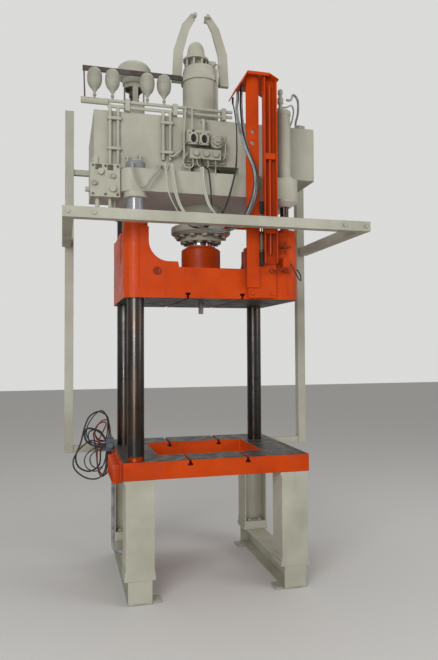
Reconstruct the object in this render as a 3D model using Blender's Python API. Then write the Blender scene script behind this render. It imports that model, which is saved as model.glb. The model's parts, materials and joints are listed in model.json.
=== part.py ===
"""Upright hydraulic trim press: bed on four legs, three columns, slide, crown, cylinder and tank.

Metres, +Z up. The origin lies on the floor under the middle of the bed, the front faces -Y.
"""
import math

import bmesh
import bpy
from mathutils import Matrix, Vector

# Fits
GAP = 0.0003            # left between pieces that touch
RUN = 0.0006            # radial running clearance of shafts in their bushes
SINK = 0.001            # how far a bolt head or a welded piece reaches into what carries it

# Press layout
AXIS_X = -0.025         # the cylinder, slide and columns stand a little left of the bed's middle
COLUMN_DIA = 0.108
COLUMN_SPAN_X = 1.004
COLUMN_SPAN_Y = 0.686
BOSS_DIA = 0.156        # housings around the columns
BOSS_X = AXIS_X + COLUMN_SPAN_X / 2     # middle of the right-hand housings

# Runners on the floor
RUNNER_OUT = 0.010      # wider apart than the columns are
RUNNER_SPAN = COLUMN_SPAN_X + RUNNER_OUT
RUNNER_W = 0.150
RUNNER_H = 0.145
RUNNER_PLATE = 0.010
RUNNER_WEB = 0.008
FOOT_TAB = (0.060, 0.100, 0.012)
TOE_NOTCH = (0.075, 0.007)

# Legs
LEG_W = 0.178
LEG_DEPTH = 0.178
LEG_WALL = 0.010
LEG_BASE = 0.032
LEG_STEP = 0.030
LEG_HEAD = 0.022
LEG_PLATE_LIP = 0.008
LEG_BOLT = 0.020

# Bed
BED_SIDE = 0.108        # beyond the columns' middles, at each side, in front and behind
BED_AHEAD = 0.072
BED_BEHIND = 0.247
BED_W = COLUMN_SPAN_X + 2 * BED_SIDE
BED_FRONT = -COLUMN_SPAN_Y / 2 - BED_AHEAD
BED_BACK = COLUMN_SPAN_Y / 2 + BED_BEHIND
BED_TOP = 0.869
BED_THICK = 0.112
PIT_SIDE = 0.140        # from the columns' middles in to the pit, at each side and in front
PIT_AHEAD = 0.153
PIT_W = COLUMN_SPAN_X - 2 * PIT_SIDE
PIT_FRONT = -COLUMN_SPAN_Y / 2 + PIT_AHEAD
PIT_BACK = COLUMN_SPAN_Y / 2 + 0.001
PIT_CORNER = 0.012
BED_SLOT_SPAN = 0.380
SLOT_W = 0.016
SLOT_HEAD_W = 0.034
SLOT_HEAD_H = 0.014
SLOT_DEPTH = 0.036

# Slide
SLIDE_BOTTOM = 1.886
SLIDE_FLOOR = 0.060
SLIDE_WALL = 0.034
SLIDE_WALL_TOP = 2.083
SLIDE_SLOT_SPAN = 0.360
BOSS_TOP = 2.352
TALL_BOSS_EXTRA = 0.053 # front left
TALL_BOSS_TOP = BOSS_TOP + TALL_BOSS_EXTRA
GUSSET_REACH = 0.125
GUSSET_RISE = 0.127
LEDGE_REACH = 0.060
LEDGE_RISE = 0.035
HUB_DIA = 0.276
HUB_TOP = 2.266
HUB_EDGE = 0.010
SIDE_PLATE_FRONT = -0.160    # the left wall is full height from here back
RIB = 0.026
RIB_TOP = 2.060
BUSH_WALL = 0.010
BUSH_PROUD = 0.004

# Knock-out pin in the slide
PIN_DIA = 0.036
PIN_HEAD_DIA = 0.070
PIN_HEAD_H = 0.020
PIN_REACH = 0.074
CAVITY_DIA = 0.110
CAVITY_H = 0.120

# Ram and cylinder
RAM_DIA = 0.160
RAM_SEAT = 0.070        # depth of the ram's seat in the hub
RAM_RING_DIA = 0.212
RAM_RING_H = 0.015
BORE_DIA = 0.196
PISTON_H = 0.070
PISTON_ROOM = 0.070      # oil space over the piston with the slide up
RAM_RING_BOLT = 0.010
CYLINDER_DIA = 0.249
CYLINDER_TOP = 3.530
LOWER_BODY_DIA = 0.305
LOWER_BODY_BOTTOM = 2.420
FLANGE_DIA = 0.420
FLANGE_H = 0.066
GLAND_DIA = 0.290
GLAND_H = 0.040
GLAND_BOLTS = 12
GLAND_BOLT = 0.018
FLANGE_BOLT = 0.022
HEAD_H = 0.030
VALVE_POST_H = 0.056
VALVE_PLATE_DIA = 0.184
VALVE_PLATE_H = 0.018
VALVE_CORE_DIA = 0.090
VALVE_CAP_DIA = 0.144
VALVE_CAP_TOP = 3.760
VALVE_SET = -0.030      # the valve stands left of the cylinder's axis
VALVE_POST_DIA = 0.018
HEAD_FITTING = (0.050, 0.050, 0.052)
HEAD_FITTING_X = 0.078

# Crown
CROWN_SIDE = 0.096      # beyond the columns' middles
CROWN_AHEAD = 0.067
CROWN_W = COLUMN_SPAN_X + 2 * CROWN_SIDE
CROWN_D = COLUMN_SPAN_Y + 2 * CROWN_AHEAD
CROWN_BOTTOM = 2.556
CROWN_TOP = 2.700
LOWER_NUT_DIA = 0.147
UPPER_NUT_DIA = 0.126
LOWER_NUT_H = 0.036
UPPER_NUT_H = 0.050
COLUMN_END = 0.008      # column shown over its upper nut
CROWN_CORNER = 0.080
STOP_ROD_DIA = 0.058
STOP_ROD_DEPTH = 0.080
STOP_FLANGE_DIA = 0.176
STOP_FLANGE_H = 0.040
STOP_FLANGE_RIM = 0.012
CROWN_LIP = 0.002
CYLINDER_NUT_DIA = 0.330

# Tank
TANK_OVERHANG = 0.168   # beyond the bed at each end
TANK_W = BED_W + 2 * TANK_OVERHANG
TANK_FRONT = -0.165
TANK_BOTTOM = 2.766
TANK_TOP = 3.141
TANK_EDGE = 0.008
TANK_NOTCH_RISE = 0.056
TANK_NOTCH = (-0.130, 0.210)
TANK_WELL_GAP = 0.012
TANK_RAIL_SPAN = 0.640
TANK_RAIL_W = 0.070
TANK_RAIL_WALL = 0.010
TANK_RAIL_SETBACK = 0.015

# Guard frame
TUBE = 0.0635
TUBE_WALL = 0.005
GUARD_OVERHANG = 0.367  # beyond the bed at each end
GUARD_W = BED_W + 2 * GUARD_OVERHANG
GUARD_AHEAD = 0.264     # in front of the columns' middles
GUARD_FRONT = -COLUMN_SPAN_Y / 2 - GUARD_AHEAD
GUARD_Z = 2.3605
POST_INSET = 0.052
POST_SPAN = GUARD_W - 2 * POST_INSET
POST_Y = 0.4915
POST_BOTTOM = 0.800
POST_TOP = 3.360
STUB_H = 0.050
STAY_Z = 2.900
STAY = 0.040
GUARD_BOLT = 0.014
GUARD_BOLT_STEP = 0.150

# Mast on the slide
MAST_X = (BOSS_X - 0.288, BOSS_X - 0.097)
MAST_FOOT = 0.020
MAST_FOOT_Z = (1.895, 2.330)
MAST_BOLT = 0.016
MAST_BOLT_EDGE = 0.028
BLADE_X = (BOSS_X - 0.300, BOSS_X - 0.215)
BLADE_THICK = 0.012
BLADE_BOTTOM = 1.960
BLADE_HOLE = 0.030
BLADE_HOLE_Z = (2.978, 2.903)
CHANNEL_X = (BOSS_X - 0.189, BOSS_X - 0.101)
CHANNEL_DEPTH = 0.050
CHANNEL_WALL = 0.008
CHANNEL_BOTTOM = 2.115
HOOD_X = (BOSS_X - 0.350, BOSS_X - 0.093)
HOOD_FRONT = -0.508
HOOD_BACK = -0.200
HOOD_TOP = 3.352
HOOD_SHEET = 0.006
HOOD_LIP = 0.020         # small flange at the hood's front
HOOD_FLAP = (0.045, 0.084)      # width and drop of its left side
HOOD_EAVE = (0.064, 0.034)      # and of its right side
HOOD_STRAIGHT = 0.050    # a cable's last straight stretch
CAM_ROD_DIA = 0.014
CAM_ROD_SET = 0.020
CAM_ROD_END = 0.060
DOG_Z = (2.815, 2.330)
DOG_H = 0.040

# Lifting yoke on the cylinder
BAND_Z = 3.470
BAND_H = 0.040
BAND_WALL = 0.012
YOKE_W = 0.066
YOKE_THICK = 0.018
YOKE_SPAN = 0.346
YOKE_KNEE_Z = 3.680
YOKE_SHOULDER = (0.108, 3.850)
YOKE_TOP = (0.046, 3.930)
YOKE_KNEE_IN = 0.012
YOKE_PIN_DIA = 0.026
YOKE_PIN_LENGTH = 0.090

# Top rail beside the cylinder
RAIL_X = -0.847
RAIL = (0.012, 0.034)
RAIL_ROD_DIA = 0.010

# Pump set on the tank
PUMP_X = -0.478
PUMP_Y = 0.150
PUMP_FLANGE_DIA = 0.210
PUMP_FLANGE_H = 0.018
BELL_DIA = 0.150
BELL_WALL = 0.009
BELL_TOP = 3.460
WINDOW_Z = (3.300, 3.430)
WINDOW_W = 0.074
MOTOR_NECK_DIA = 0.165
MOTOR_NECK_H = 0.050
MOTOR_DIA = 0.245
MOTOR_RIM_H = 0.050
MOTOR_TOP = 3.632
SHAFT_DIA = 0.028
COUPLING_DIA = 0.074

# Pipework on the tank
PIPE_DIA = 0.022
PIPE_STAND_OFF = 0.002
UPPER_HEADER_Z = 3.202
LOWER_HEADER_Z = 3.166
HEADER_X = (-0.690, 0.160)
SADDLE_X = (-0.560, -0.240, 0.100)
SADDLE_W = 0.030
STUB_DIA = 0.044
STUB_X = -0.862
PIPE_TIE = 0.016
CLAMP_EDGE = 0.006
LEFT_DROPS = (-0.674, -0.622)
RIGHT_DROPS = (-0.321, -0.274)
CLAMP_Z = (3.085, 2.885)
CLAMP_H = 0.020
ACCUMULATOR_X = (-0.774, -0.658, -0.428, -0.315)
BULB_DIA = 0.097
BULB_TOP = 3.412
BULB_BOTTOM = 3.290
NECK_DIA = 0.040
HEX_DIA = 0.034

# Valves
SIDE_BLOCK_X = -0.808
SIDE_BLOCK_Y = (-0.360, -0.130)
SIDE_BLOCK_Z = (2.518, 2.728)
SIDE_BLOCK_LUG = 0.045
MANIFOLD_X = (-0.190, 0.110)
MANIFOLD_Z = (2.832, 3.045)
MANIFOLD_T = 0.018
MAIN_BLOCK = (-0.172, -0.020, 0.075, 2.945, 3.030)
LOWER_BLOCK = (-0.150, 0.065, 0.055, 2.842, 2.912)
PORT_DIA = 0.046
PORT_T = 0.010
PORT_SPOTS = ((-0.133, 2.986), (-0.061, 2.986))
SOLENOID_DIA = 0.092
SOLENOID_X = 0.034
SOLENOID_Z = 2.964
SOLENOID_T = 0.070

# Filter on the crown's front right boss
FILTER_DIA = 0.090
FILTER_TOP = 3.180
FILTER_FLANGE_DIA = 0.130
FILTER_FLANGE_H = 0.012
FITTING_X = BOSS_X - 0.022
FITTING_DIA = 0.044
FITTING_TOP = 3.325
FILTER_LOOP_X = BOSS_X + 0.173

# Levers on the slide's front right
SLIDE_SWITCH_X = (BOSS_X - 0.057, BOSS_X - 0.009)
SLIDE_SWITCH_Z = (2.070, 2.150)
SLIDE_LEVER_REACH = 0.095
SLIDE_SWITCH_DEPTH = 0.044
SLIDE_SWITCH_NOSE = 0.012
SLIDE_SWITCH_HUB = 0.026
LEVER_W = 0.012
LEVER_THICK = 0.006
LEVER_DROP = 0.020
LEVER_RING_DIA = 0.034
LATCH_XZ = (BOSS_X - 0.037, 2.235)
LATCH_ARM = 0.046
LATCH_STUD = 0.018
LATCH_STAND_OFF = 0.016

# Cable support arm on the mast
ARM_X = (BOSS_X - 0.447, BLADE_X[0])
ARM_Z = 2.340
ARM_H = 0.014
ARM_LOOP_DIA = 0.044

# Services at the bed's left
SERVICE_BLOCK = (0.060, 0.090, 0.090)
SERVICE_YZ = (0.300, 0.880)

# Hoses
HOSE_DIA = 0.022
LOOP_DIA = 0.015
CABLE_DIA = 0.015
UNION = 0.030
UNION_STEPS = (0.063, 0.238, 0.271, 0.315, 0.513)      # from the crown's left end
UNION_OUT = 0.034        # a hose's straight stretch out of its union
HOOD_END_X = (0.029, 0.065, 0.023)      # the cables' ends, from the hood's left edge
HOOD_END_Y = (-0.015, -0.100, -0.150)   # and from its back edge
BLACK_HOSE = 0.014
RED_HOSE = 0.012
FILTER_HOSE = 0.016
# Routes, chosen by eye: (share of the way from the union to the hood, out from the crown's front, up from its top)
CABLE_A_ROUTE = (
    (0.046, -0.046, -0.160), (0.161, -0.050, -0.277), (0.251, -0.051, -0.338),
    (0.359, -0.051, -0.367), (0.484, -0.051, -0.365), (0.645, -0.051, -0.330),
    (0.783, -0.051, -0.250), (0.881, -0.051, -0.117), (0.958, -0.045, 0.050),
    (0.994, 0.000, 0.291), (1.031, 0.120, 0.490),
)
CABLE_B_ROUTE = (
    (0.051, -0.066, -0.180), (0.156, -0.076, -0.290), (0.294, -0.080, -0.348),
    (0.570, -0.080, -0.392), (0.823, -0.081, -0.382), (1.014, -0.083, -0.332),
    (1.159, -0.086, -0.238), (1.241, -0.088, -0.115), (1.228, -0.086, 0.014),
    (1.117, -0.074, 0.143), (1.076, -0.030, 0.282), (1.103, 0.050, 0.460),
)
CABLE_C_ROUTE = (
    (-0.008, -0.060, -0.094), (0.089, -0.076, -0.210), (0.253, -0.087, -0.285),
    (0.489, -0.102, -0.338), (0.759, -0.112, -0.342), (1.025, -0.115, -0.300),
    (1.207, -0.116, -0.220), (1.333, -0.116, -0.110), (1.308, -0.114, 0.014),
    (1.097, -0.104, 0.143), (0.996, -0.060, 0.285), (1.013, 0.010, 0.430),
)
# The share here is of the way between the first two unions
LOOP_ROUTE = (
    (0.034, -0.046, -0.040), (0.149, -0.048, -0.100), (0.309, -0.048, -0.135),
    (0.509, -0.048, -0.124), (0.651, -0.048, -0.080), (0.920, -0.046, -0.020),
)
# From the filter's middle and the top of its fittings
FILTER_ROUTE = (
    (0.083, 0.028, -0.015), (0.138, 0.083, -0.025), (0.168, 0.153, -0.085),
)
# From the service block's left face and middle: (x, z), and (x, y, z)
BLACK_LOOP_ROUTE = (
    (0.015, 0.195), (-0.045, 0.238), (-0.110, 0.205), (-0.145, 0.130), (-0.170, 0.020),
    (-0.210, -0.080), (-0.185, -0.155), (-0.110, -0.190), (-0.040, -0.145),
)
RED_LOOP_ROUTE = (
    (-0.065, -0.030, 0.050), (-0.075, -0.030, 0.110), (-0.040, -0.020, 0.155),
    (0.005, -0.020, 0.150), (-0.052, -0.050, 0.020), (-0.058, -0.050, -0.140),
    (-0.020, -0.030, -0.215),
)

# Facets of round pieces
ROUND = 20
SMALL_ROUND = 10
BOLT_ROUND = 6

BED_BOTTOM = BED_TOP - BED_THICK
BED_MIDDLE = (BED_FRONT + BED_BACK) / 2
SLIDE_W = COLUMN_SPAN_X + BOSS_DIA
SLIDE_D = COLUMN_SPAN_Y + BOSS_DIA
CYLINDER_NUT_H = TANK_BOTTOM - CROWN_TOP - 0.012
GUARD_BOLT_HEAD = 0.65 * GUARD_BOLT
TANK_BACK = GUARD_BOLT_HEAD - SINK - GUARD_FRONT   # as far behind the origin as the guard is in front
HEADER_Y = TANK_FRONT - PIPE_DIA / 2 - PIPE_STAND_OFF
STUB_Z = UPPER_HEADER_Z - (STUB_DIA - PIPE_DIA) / 2
CROWN_LEFT = AXIS_X - CROWN_W / 2
UNION_X = tuple(CROWN_LEFT + step for step in UNION_STEPS)
COLUMN_XY = {
    "front_left": (AXIS_X - COLUMN_SPAN_X / 2, -COLUMN_SPAN_Y / 2),
    "back_left": (AXIS_X - COLUMN_SPAN_X / 2, COLUMN_SPAN_Y / 2),
    "back_right": (AXIS_X + COLUMN_SPAN_X / 2, COLUMN_SPAN_Y / 2),
}
STOP_XY = (AXIS_X + COLUMN_SPAN_X / 2, -COLUMN_SPAN_Y / 2)
SLIDE_FACE = -SLIDE_D / 2
MAST_FACE = SLIDE_FACE - GAP - MAST_FOOT

COLOURS = {
    "orange_paint": ((0.58, 0.05, 0.006), 0.45, 0.0),
    "cream_paint": ((0.49, 0.47, 0.36), 0.50, 0.0),
    "worn_steel": ((0.09, 0.08, 0.07), 0.35, 0.9),
    "bright_steel": ((0.45, 0.45, 0.45), 0.20, 1.0),
    "bronze": ((0.45, 0.28, 0.10), 0.35, 1.0),
    "black_rubber": ((0.02, 0.02, 0.02), 0.60, 0.0),
    "grey_hose": ((0.36, 0.36, 0.34), 0.60, 0.0),
    "red_hose": ((0.30, 0.03, 0.02), 0.60, 0.0),
}


def clear_scene():
    for old in list(bpy.data.objects):
        bpy.data.objects.remove(old)


def paint(name):
    material = bpy.data.materials.get(name)
    if material:
        return material
    colour, roughness, metallic = COLOURS[name]
    material = bpy.data.materials.new(name)
    material.use_nodes = True
    shader = material.node_tree.nodes["Principled BSDF"]
    shader.inputs["Base Color"].default_value = (*colour, 1.0)
    shader.inputs["Roughness"].default_value = roughness
    shader.inputs["Metallic"].default_value = metallic
    material.diffuse_color = (*colour, 1.0)
    return material


def make_object(name, bm, finish=None, at=(0.0, 0.0, 0.0), smooth=False):
    """Turns a bmesh into an object placed at a point. Without a finish it is a hidden guide."""
    bmesh.ops.remove_doubles(bm, verts=bm.verts, dist=1e-6)
    bmesh.ops.recalc_face_normals(bm, faces=bm.faces)
    mesh = bpy.data.meshes.new(name)
    bm.to_mesh(mesh)
    bm.free()
    thing = bpy.data.objects.new(name, mesh)
    thing.location = at
    bpy.context.scene.collection.objects.link(thing)
    if finish is None:
        thing.hide_render = True
        thing.display_type = "WIRE"
    else:
        mesh.materials.append(paint(finish))
    if smooth:
        mesh.shade_smooth()
        mesh.set_sharp_from_angle(angle=math.radians(35))
    return thing


def box(low, high):
    bm = bmesh.new()
    size = [b - a for a, b in zip(low, high)]
    middle = [(a + b) / 2 for a, b in zip(low, high)]
    bmesh.ops.create_cube(bm, size=1.0, matrix=Matrix.Translation(middle) @ Matrix.Diagonal((*size, 1.0)))
    return bm


def prism(outline, start, end, axis="Z"):
    """Extrudes a flat outline along an axis. Points are (x, y), (x, z) or (y, z)."""
    bm = bmesh.new()
    place = {
        "Z": lambda a, b, c: (a, b, c),
        "Y": lambda a, b, c: (a, c, b),
        "X": lambda a, b, c: (c, a, b),
    }[axis]
    corners = [bm.verts.new(place(a, b, start)) for a, b in outline]
    face = bm.faces.new(corners)
    grown = bmesh.ops.extrude_face_region(bm, geom=[face])
    moved = [v for v in grown["geom"] if isinstance(v, bmesh.types.BMVert)]
    bmesh.ops.translate(bm, verts=moved, vec=Vector(place(0.0, 0.0, end - start)))
    return bm


def turned(profile, segments=ROUND, closed=False):
    """Spins a profile of (radius, height) about Z. An open one starts and ends on the axis."""
    bm = bmesh.new()
    points = [bm.verts.new((radius, 0.0, height)) for radius, height in profile]
    pairs = list(zip(points, points[1:]))
    if closed:
        pairs.append((points[-1], points[0]))
    for first, second in pairs:
        bm.edges.new((first, second))
    geometry = list(bm.verts) + list(bm.edges)
    bmesh.ops.spin(bm, geom=geometry, cent=(0, 0, 0), axis=(0, 0, 1), angle=math.tau, steps=segments,
                   use_merge=True)
    bmesh.ops.remove_doubles(bm, verts=bm.verts, dist=1e-6)
    return bm


def disc(radius, low, high, segments=ROUND, edge=0.0):
    """A solid round bar along Z, with an optional chamfer at its top edge."""
    profile = [(0.0, low), (radius, low), (radius, high - edge)]
    if edge > 0.0:
        profile.append((radius - edge, high))
    profile.append((0.0, high))
    return turned(profile, segments)


def ring(outer, inner, low, high, segments=ROUND, edge=0.0):
    profile = [(inner, low), (outer, low), (outer, high - edge)]
    if edge > 0.0:
        profile.append((outer - edge, high))
    profile.append((inner, high))
    return turned(profile, segments, closed=True)


def lay_along(bm, axis):
    """Turns a piece made along Z so that it lies along X or Y."""
    turn = Matrix.Rotation(math.pi / 2, 4, "Y") if axis == "X" else Matrix.Rotation(-math.pi / 2, 4, "X")
    bmesh.ops.transform(bm, matrix=turn, verts=bm.verts)
    return bm


def shift(bm, by):
    bmesh.ops.translate(bm, verts=bm.verts, vec=Vector(by))
    return bm


def boolean(target, operation, operands):
    """Adds, or cuts away, a list of bmeshes. Each stays as a hidden guide."""
    group = bpy.data.collections.new(f"{target.name}_{operation.lower()}")
    bpy.context.scene.collection.children.link(group)
    for index, operand in enumerate(operands):
        guide = make_object(f"{target.name}_{operation.lower()}_{index}", operand, at=target.location)
        bpy.context.scene.collection.objects.unlink(guide)
        group.objects.link(guide)
    modifier = target.modifiers.new(operation.lower(), "BOOLEAN")
    modifier.operation = operation
    modifier.solver = "EXACT"
    modifier.operand_type = "COLLECTION"
    modifier.collection = group


def weld(target, operands):
    boolean(target, "UNION", operands)


def cut(target, operands):
    boolean(target, "DIFFERENCE", operands)


def rod_between(start, end, diameter, segments=12):
    """A straight round bar from one point to another."""
    start = Vector(start)
    line = Vector(end) - start
    bm = disc(diameter / 2, 0.0, line.length, segments)
    turn = Vector((0, 0, 1)).rotation_difference(line).to_matrix().to_4x4()
    bmesh.ops.transform(bm, matrix=Matrix.Translation(start) @ turn, verts=bm.verts)
    return bm


def mirror_x(points):
    return [(-x, z) for x, z in reversed(points)]


def arc(centre, radius, start, end, steps):
    """Points on an arc, angles in degrees."""
    points = []
    for step in range(steps + 1):
        angle = math.radians(start + (end - start) * step / steps)
        points.append((centre[0] + radius * math.cos(angle), centre[1] + radius * math.sin(angle)))
    return points


def rounded_rectangle(half_w, half_d, radius, steps=6, centre=(0.0, 0.0)):
    cx, cy = centre
    outline = []
    for sx, sy, start in ((1, 1, 0), (-1, 1, 90), (-1, -1, 180), (1, -1, 270)):
        corner = (cx + sx * (half_w - radius), cy + sy * (half_d - radius))
        outline += arc(corner, radius, start, start + 90, steps)
    return outline


def around(count, offset=0.5):
    """Even angles round a circle."""
    return [math.tau * (index + offset) / count for index in range(count)]


def empty(name, at):
    holder = bpy.data.objects.new(name, None)
    holder.location = at
    bpy.context.scene.collection.objects.link(holder)
    return holder


def carry(holder, things):
    """Parents things to an empty on their joint's axis without moving them."""
    for thing in things:
        thing.parent = holder
        thing.matrix_parent_inverse = Matrix.Translation(holder.location).inverted()


def bolt_head(diameter, low):
    """A hexagon head that sits on a face at height low."""
    return disc(diameter * 0.9, low, low + 0.65 * diameter, BOLT_ROUND)


def tube_object(name, route, diameter, finish, sides=2):
    """A hose or pipe: a smooth curve through the route's points, read at even steps."""
    points = smooth_route([Vector(p) for p in route], diameter)
    curve = bpy.data.curves.new(name, "CURVE")
    curve.dimensions = "3D"
    curve.bevel_depth = diameter / 2
    curve.bevel_resolution = sides
    curve.use_fill_caps = True
    spline = curve.splines.new("POLY")
    spline.points.add(len(points) - 1)
    for target, point in zip(spline.points, points):
        target.co = (*point, 1.0)
    curve.materials.append(paint(finish))
    thing = bpy.data.objects.new(name, curve)
    bpy.context.scene.collection.objects.link(thing)
    return thing


def smooth_route(route, diameter):
    """Keeps the straight first and last stretch, and reads a Catmull-Rom curve evenly between them."""
    fine = []
    for p0, p1, p2, p3 in zip(route, route[1:], route[2:], route[3:]):
        for step in range(24):
            t = step / 24
            fine.append(0.5 * (2 * p1 + (p2 - p0) * t + (2 * p0 - 5 * p1 + 4 * p2 - p3) * t * t
                               + (3 * p1 - p0 - 3 * p2 + p3) * t * t * t))
    fine.append(route[-2])
    total = sum((b - a).length for a, b in zip(fine, fine[1:]))
    count = min(76, round(total / (3.5 * diameter)))
    evenly = [fine[0]]
    walked = 0.0
    for a, b in zip(fine, fine[1:]):
        walked += (b - a).length
        if walked >= total * len(evenly) / count and len(evenly) < count:
            evenly.append(b)
    return [route[0]] + evenly + [route[-2], route[-1]]


def build_runners():
    """Two I-beams lie front to back on the floor and carry the legs."""
    half = RUNNER_W / 2
    web = RUNNER_WEB / 2
    low = RUNNER_PLATE
    high = RUNNER_H - RUNNER_PLATE
    beam = [(-half, 0), (half, 0), (half, low), (web, low), (web, high), (half, high), (half, RUNNER_H),
            (-half, RUNNER_H), (-half, high), (-web, high), (-web, low), (-half, low)]
    tab_x, tab_y, tab_z = FOOT_TAB
    notch_w, notch_h = TOE_NOTCH
    for name, side in (("runner_left", -1), ("runner_right", 1)):
        x = side * RUNNER_SPAN / 2
        runner = make_object(name, prism(beam, BED_FRONT, BED_BACK, "Y"), "cream_paint", at=(x, 0, 0))
        added = []
        for y in (BED_FRONT, BED_BACK - RUNNER_PLATE):
            added.append(box((-half, y, 0), (half, y + RUNNER_PLATE, RUNNER_H)))
        inner, outer = sorted((-side * (half - 0.002), -side * (half + tab_x)))
        for y in (BED_FRONT + RUNNER_PLATE, BED_BACK - RUNNER_PLATE - tab_y):
            added.append(box((inner, y, 0), (outer, y + tab_y, tab_z)))
        weld(runner, added)
        cut(runner, [box((-notch_w / 2, BED_FRONT - 0.01, -0.01),
                         (notch_w / 2, BED_FRONT + RUNNER_PLATE / 2, notch_h))])


def leg_stations():
    """Front and back of each leg: the pairs are flush with the bed's front and back."""
    return ((BED_FRONT, BED_FRONT + LEG_DEPTH), (BED_BACK - LEG_DEPTH, BED_BACK))


def build_legs():
    """Legs with stepped base plates: H-sections behind, and in front channels with their webs outwards."""
    half = LEG_W / 2
    t = LEG_WALL
    base_low = RUNNER_H + GAP
    step_low = base_low + LEG_BASE
    base_top = step_low + LEG_STEP
    head_top = BED_BOTTOM - GAP
    head_low = head_top - LEG_HEAD
    lip = LEG_PLATE_LIP
    for row, (front, back) in zip(("front", "back"), leg_stations()):
        middle = (front + back) / 2
        section = [(-half, front), (-half + t, front), (-half + t, middle - t / 2), (half - t, middle - t / 2),
                   (half - t, front), (half, front), (half, back), (half - t, back), (half - t, middle + t / 2),
                   (-half + t, middle + t / 2), (-half + t, back), (-half, back)]
        if row == "front":
            section = [(-half, front), (half, front), (half, back), (half - t, back), (half - t, front + t),
                       (-half + t, front + t), (-half + t, back), (-half, back)]
        for side_name, side in (("left", -1), ("right", 1)):
            x = side * RUNNER_SPAN / 2
            leg = make_object(f"leg_{row}_{side_name}", prism(section, base_low, head_top), "cream_paint",
                              at=(x, 0, 0))
            plates = [
                box((-half - lip, front, base_low), (half + lip, back, step_low)),
                box((-half - lip / 2, front, step_low - 0.001), (half + lip / 2, back, base_top)),
                box((-half - lip, front, head_low), (half + lip, back, head_top)),
            ]
            bolt_y = middle - LEG_DEPTH / 4 if row == "back" else middle + LEG_DEPTH / 4
            for dx in (-1, 1):
                plates.append(shift(bolt_head(LEG_BOLT, base_top - SINK), (dx * LEG_W / 4, bolt_y, 0)))
            weld(leg, plates)


def tee_slot(x, floor_z, up, front, back):
    """A cutter for a T-slot that opens at floor_z and runs front to back."""
    half = SLOT_W / 2
    wide = SLOT_HEAD_W / 2
    neck = floor_z + up * (SLOT_DEPTH - SLOT_HEAD_H)
    end = floor_z + up * SLOT_DEPTH
    mouth = floor_z - up * 0.01
    outline = [(x - half, mouth), (x + half, mouth), (x + half, neck), (x + wide, neck), (x + wide, end),
               (x - wide, end), (x - wide, neck), (x - half, neck)]
    return prism(outline, front, back, "Y")


def build_bed():
    """A thick plate with a rectangular opening, T-slots and sockets for the columns."""
    bed = make_object("bed", box((-BED_W / 2, BED_FRONT, BED_BOTTOM), (BED_W / 2, BED_BACK, BED_TOP)),
                      "orange_paint")
    pit_middle = (PIT_FRONT + PIT_BACK) / 2
    pit = rounded_rectangle(PIT_W / 2, (PIT_BACK - PIT_FRONT) / 2, PIT_CORNER, 3, (0, pit_middle))
    cutters = [prism(pit, BED_BOTTOM - 0.01, BED_TOP + 0.01)]
    for side in (-1, 1):
        cutters.append(tee_slot(side * BED_SLOT_SPAN / 2, BED_TOP, -1, BED_FRONT - 0.01, BED_BACK + 0.01))
    for x, y in COLUMN_XY.values():
        cutters.append(shift(disc(COLUMN_DIA / 2 + GAP, BED_BOTTOM - 0.01, BED_TOP + 0.01), (x, y, 0)))
    cut(bed, cutters)


def build_columns():
    """Three ground columns: seated in the bed, nutted under and over the crown."""
    top = CROWN_TOP + UPPER_NUT_H + COLUMN_END
    for name, (x, y) in COLUMN_XY.items():
        make_object(f"column_{name}", disc(COLUMN_DIA / 2, BED_BOTTOM + GAP, top, edge=0.004), "worn_steel",
                    at=(x, y, 0), smooth=True)
    x, y = STOP_XY
    make_object("stop_rod", disc(STOP_ROD_DIA / 2, BOSS_TOP + GAP, CROWN_BOTTOM + STOP_ROD_DEPTH, edge=0.003),
                "worn_steel", at=(x, y, 0), smooth=True)


def build_crown():
    """The head block that ties the columns and holds the cylinder, with its nuts run up on it."""
    outline = rounded_rectangle(CROWN_W / 2, CROWN_D / 2, CROWN_CORNER, 6)
    crown = make_object("crown", prism(outline, CROWN_BOTTOM, CROWN_TOP), "cream_paint", at=(AXIS_X, 0, 0))
    under = CROWN_BOTTOM - LOWER_NUT_H - 0.01
    over = CROWN_TOP + CYLINDER_NUT_H + 0.01
    added = [disc(CYLINDER_NUT_DIA / 2, CROWN_TOP - SINK, CROWN_TOP + CYLINDER_NUT_H, edge=0.006)]
    cutters = [disc(CYLINDER_DIA / 2 + GAP, CROWN_BOTTOM - 0.01, over)]
    for x, y in COLUMN_XY.values():
        spot = (x - AXIS_X, y, 0)
        added.append(shift(disc(LOWER_NUT_DIA / 2, CROWN_BOTTOM - LOWER_NUT_H, CROWN_BOTTOM + SINK), spot))
        added.append(shift(disc(UPPER_NUT_DIA / 2, CROWN_TOP - SINK, CROWN_TOP + UPPER_NUT_H, edge=0.005), spot))
        cutters.append(shift(disc(COLUMN_DIA / 2 + GAP, under, over), spot))
    spot = (STOP_XY[0] - AXIS_X, STOP_XY[1], 0)
    dish = [(0.0, CROWN_BOTTOM - STOP_FLANGE_H), (STOP_ROD_DIA / 2 + 0.014, CROWN_BOTTOM - STOP_FLANGE_H),
            (STOP_FLANGE_DIA / 2, CROWN_BOTTOM - STOP_FLANGE_RIM), (STOP_FLANGE_DIA / 2, CROWN_BOTTOM + SINK),
            (0.0, CROWN_BOTTOM + SINK)]
    added.append(shift(turned(dish), spot))
    socket = disc(STOP_ROD_DIA / 2 + GAP, under - 0.02, CROWN_BOTTOM + STOP_ROD_DEPTH + GAP)
    cutters.append(shift(socket, spot))
    union_y = -CROWN_D / 2 + UNION / 2 + CROWN_LIP
    for x in UNION_X:
        added.append(box((x - AXIS_X - UNION / 2, union_y - UNION / 2, CROWN_TOP - SINK),
                         (x - AXIS_X + UNION / 2, union_y + UNION / 2, CROWN_TOP + UNION)))
    weld(crown, added)
    cut(crown, cutters)


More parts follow.
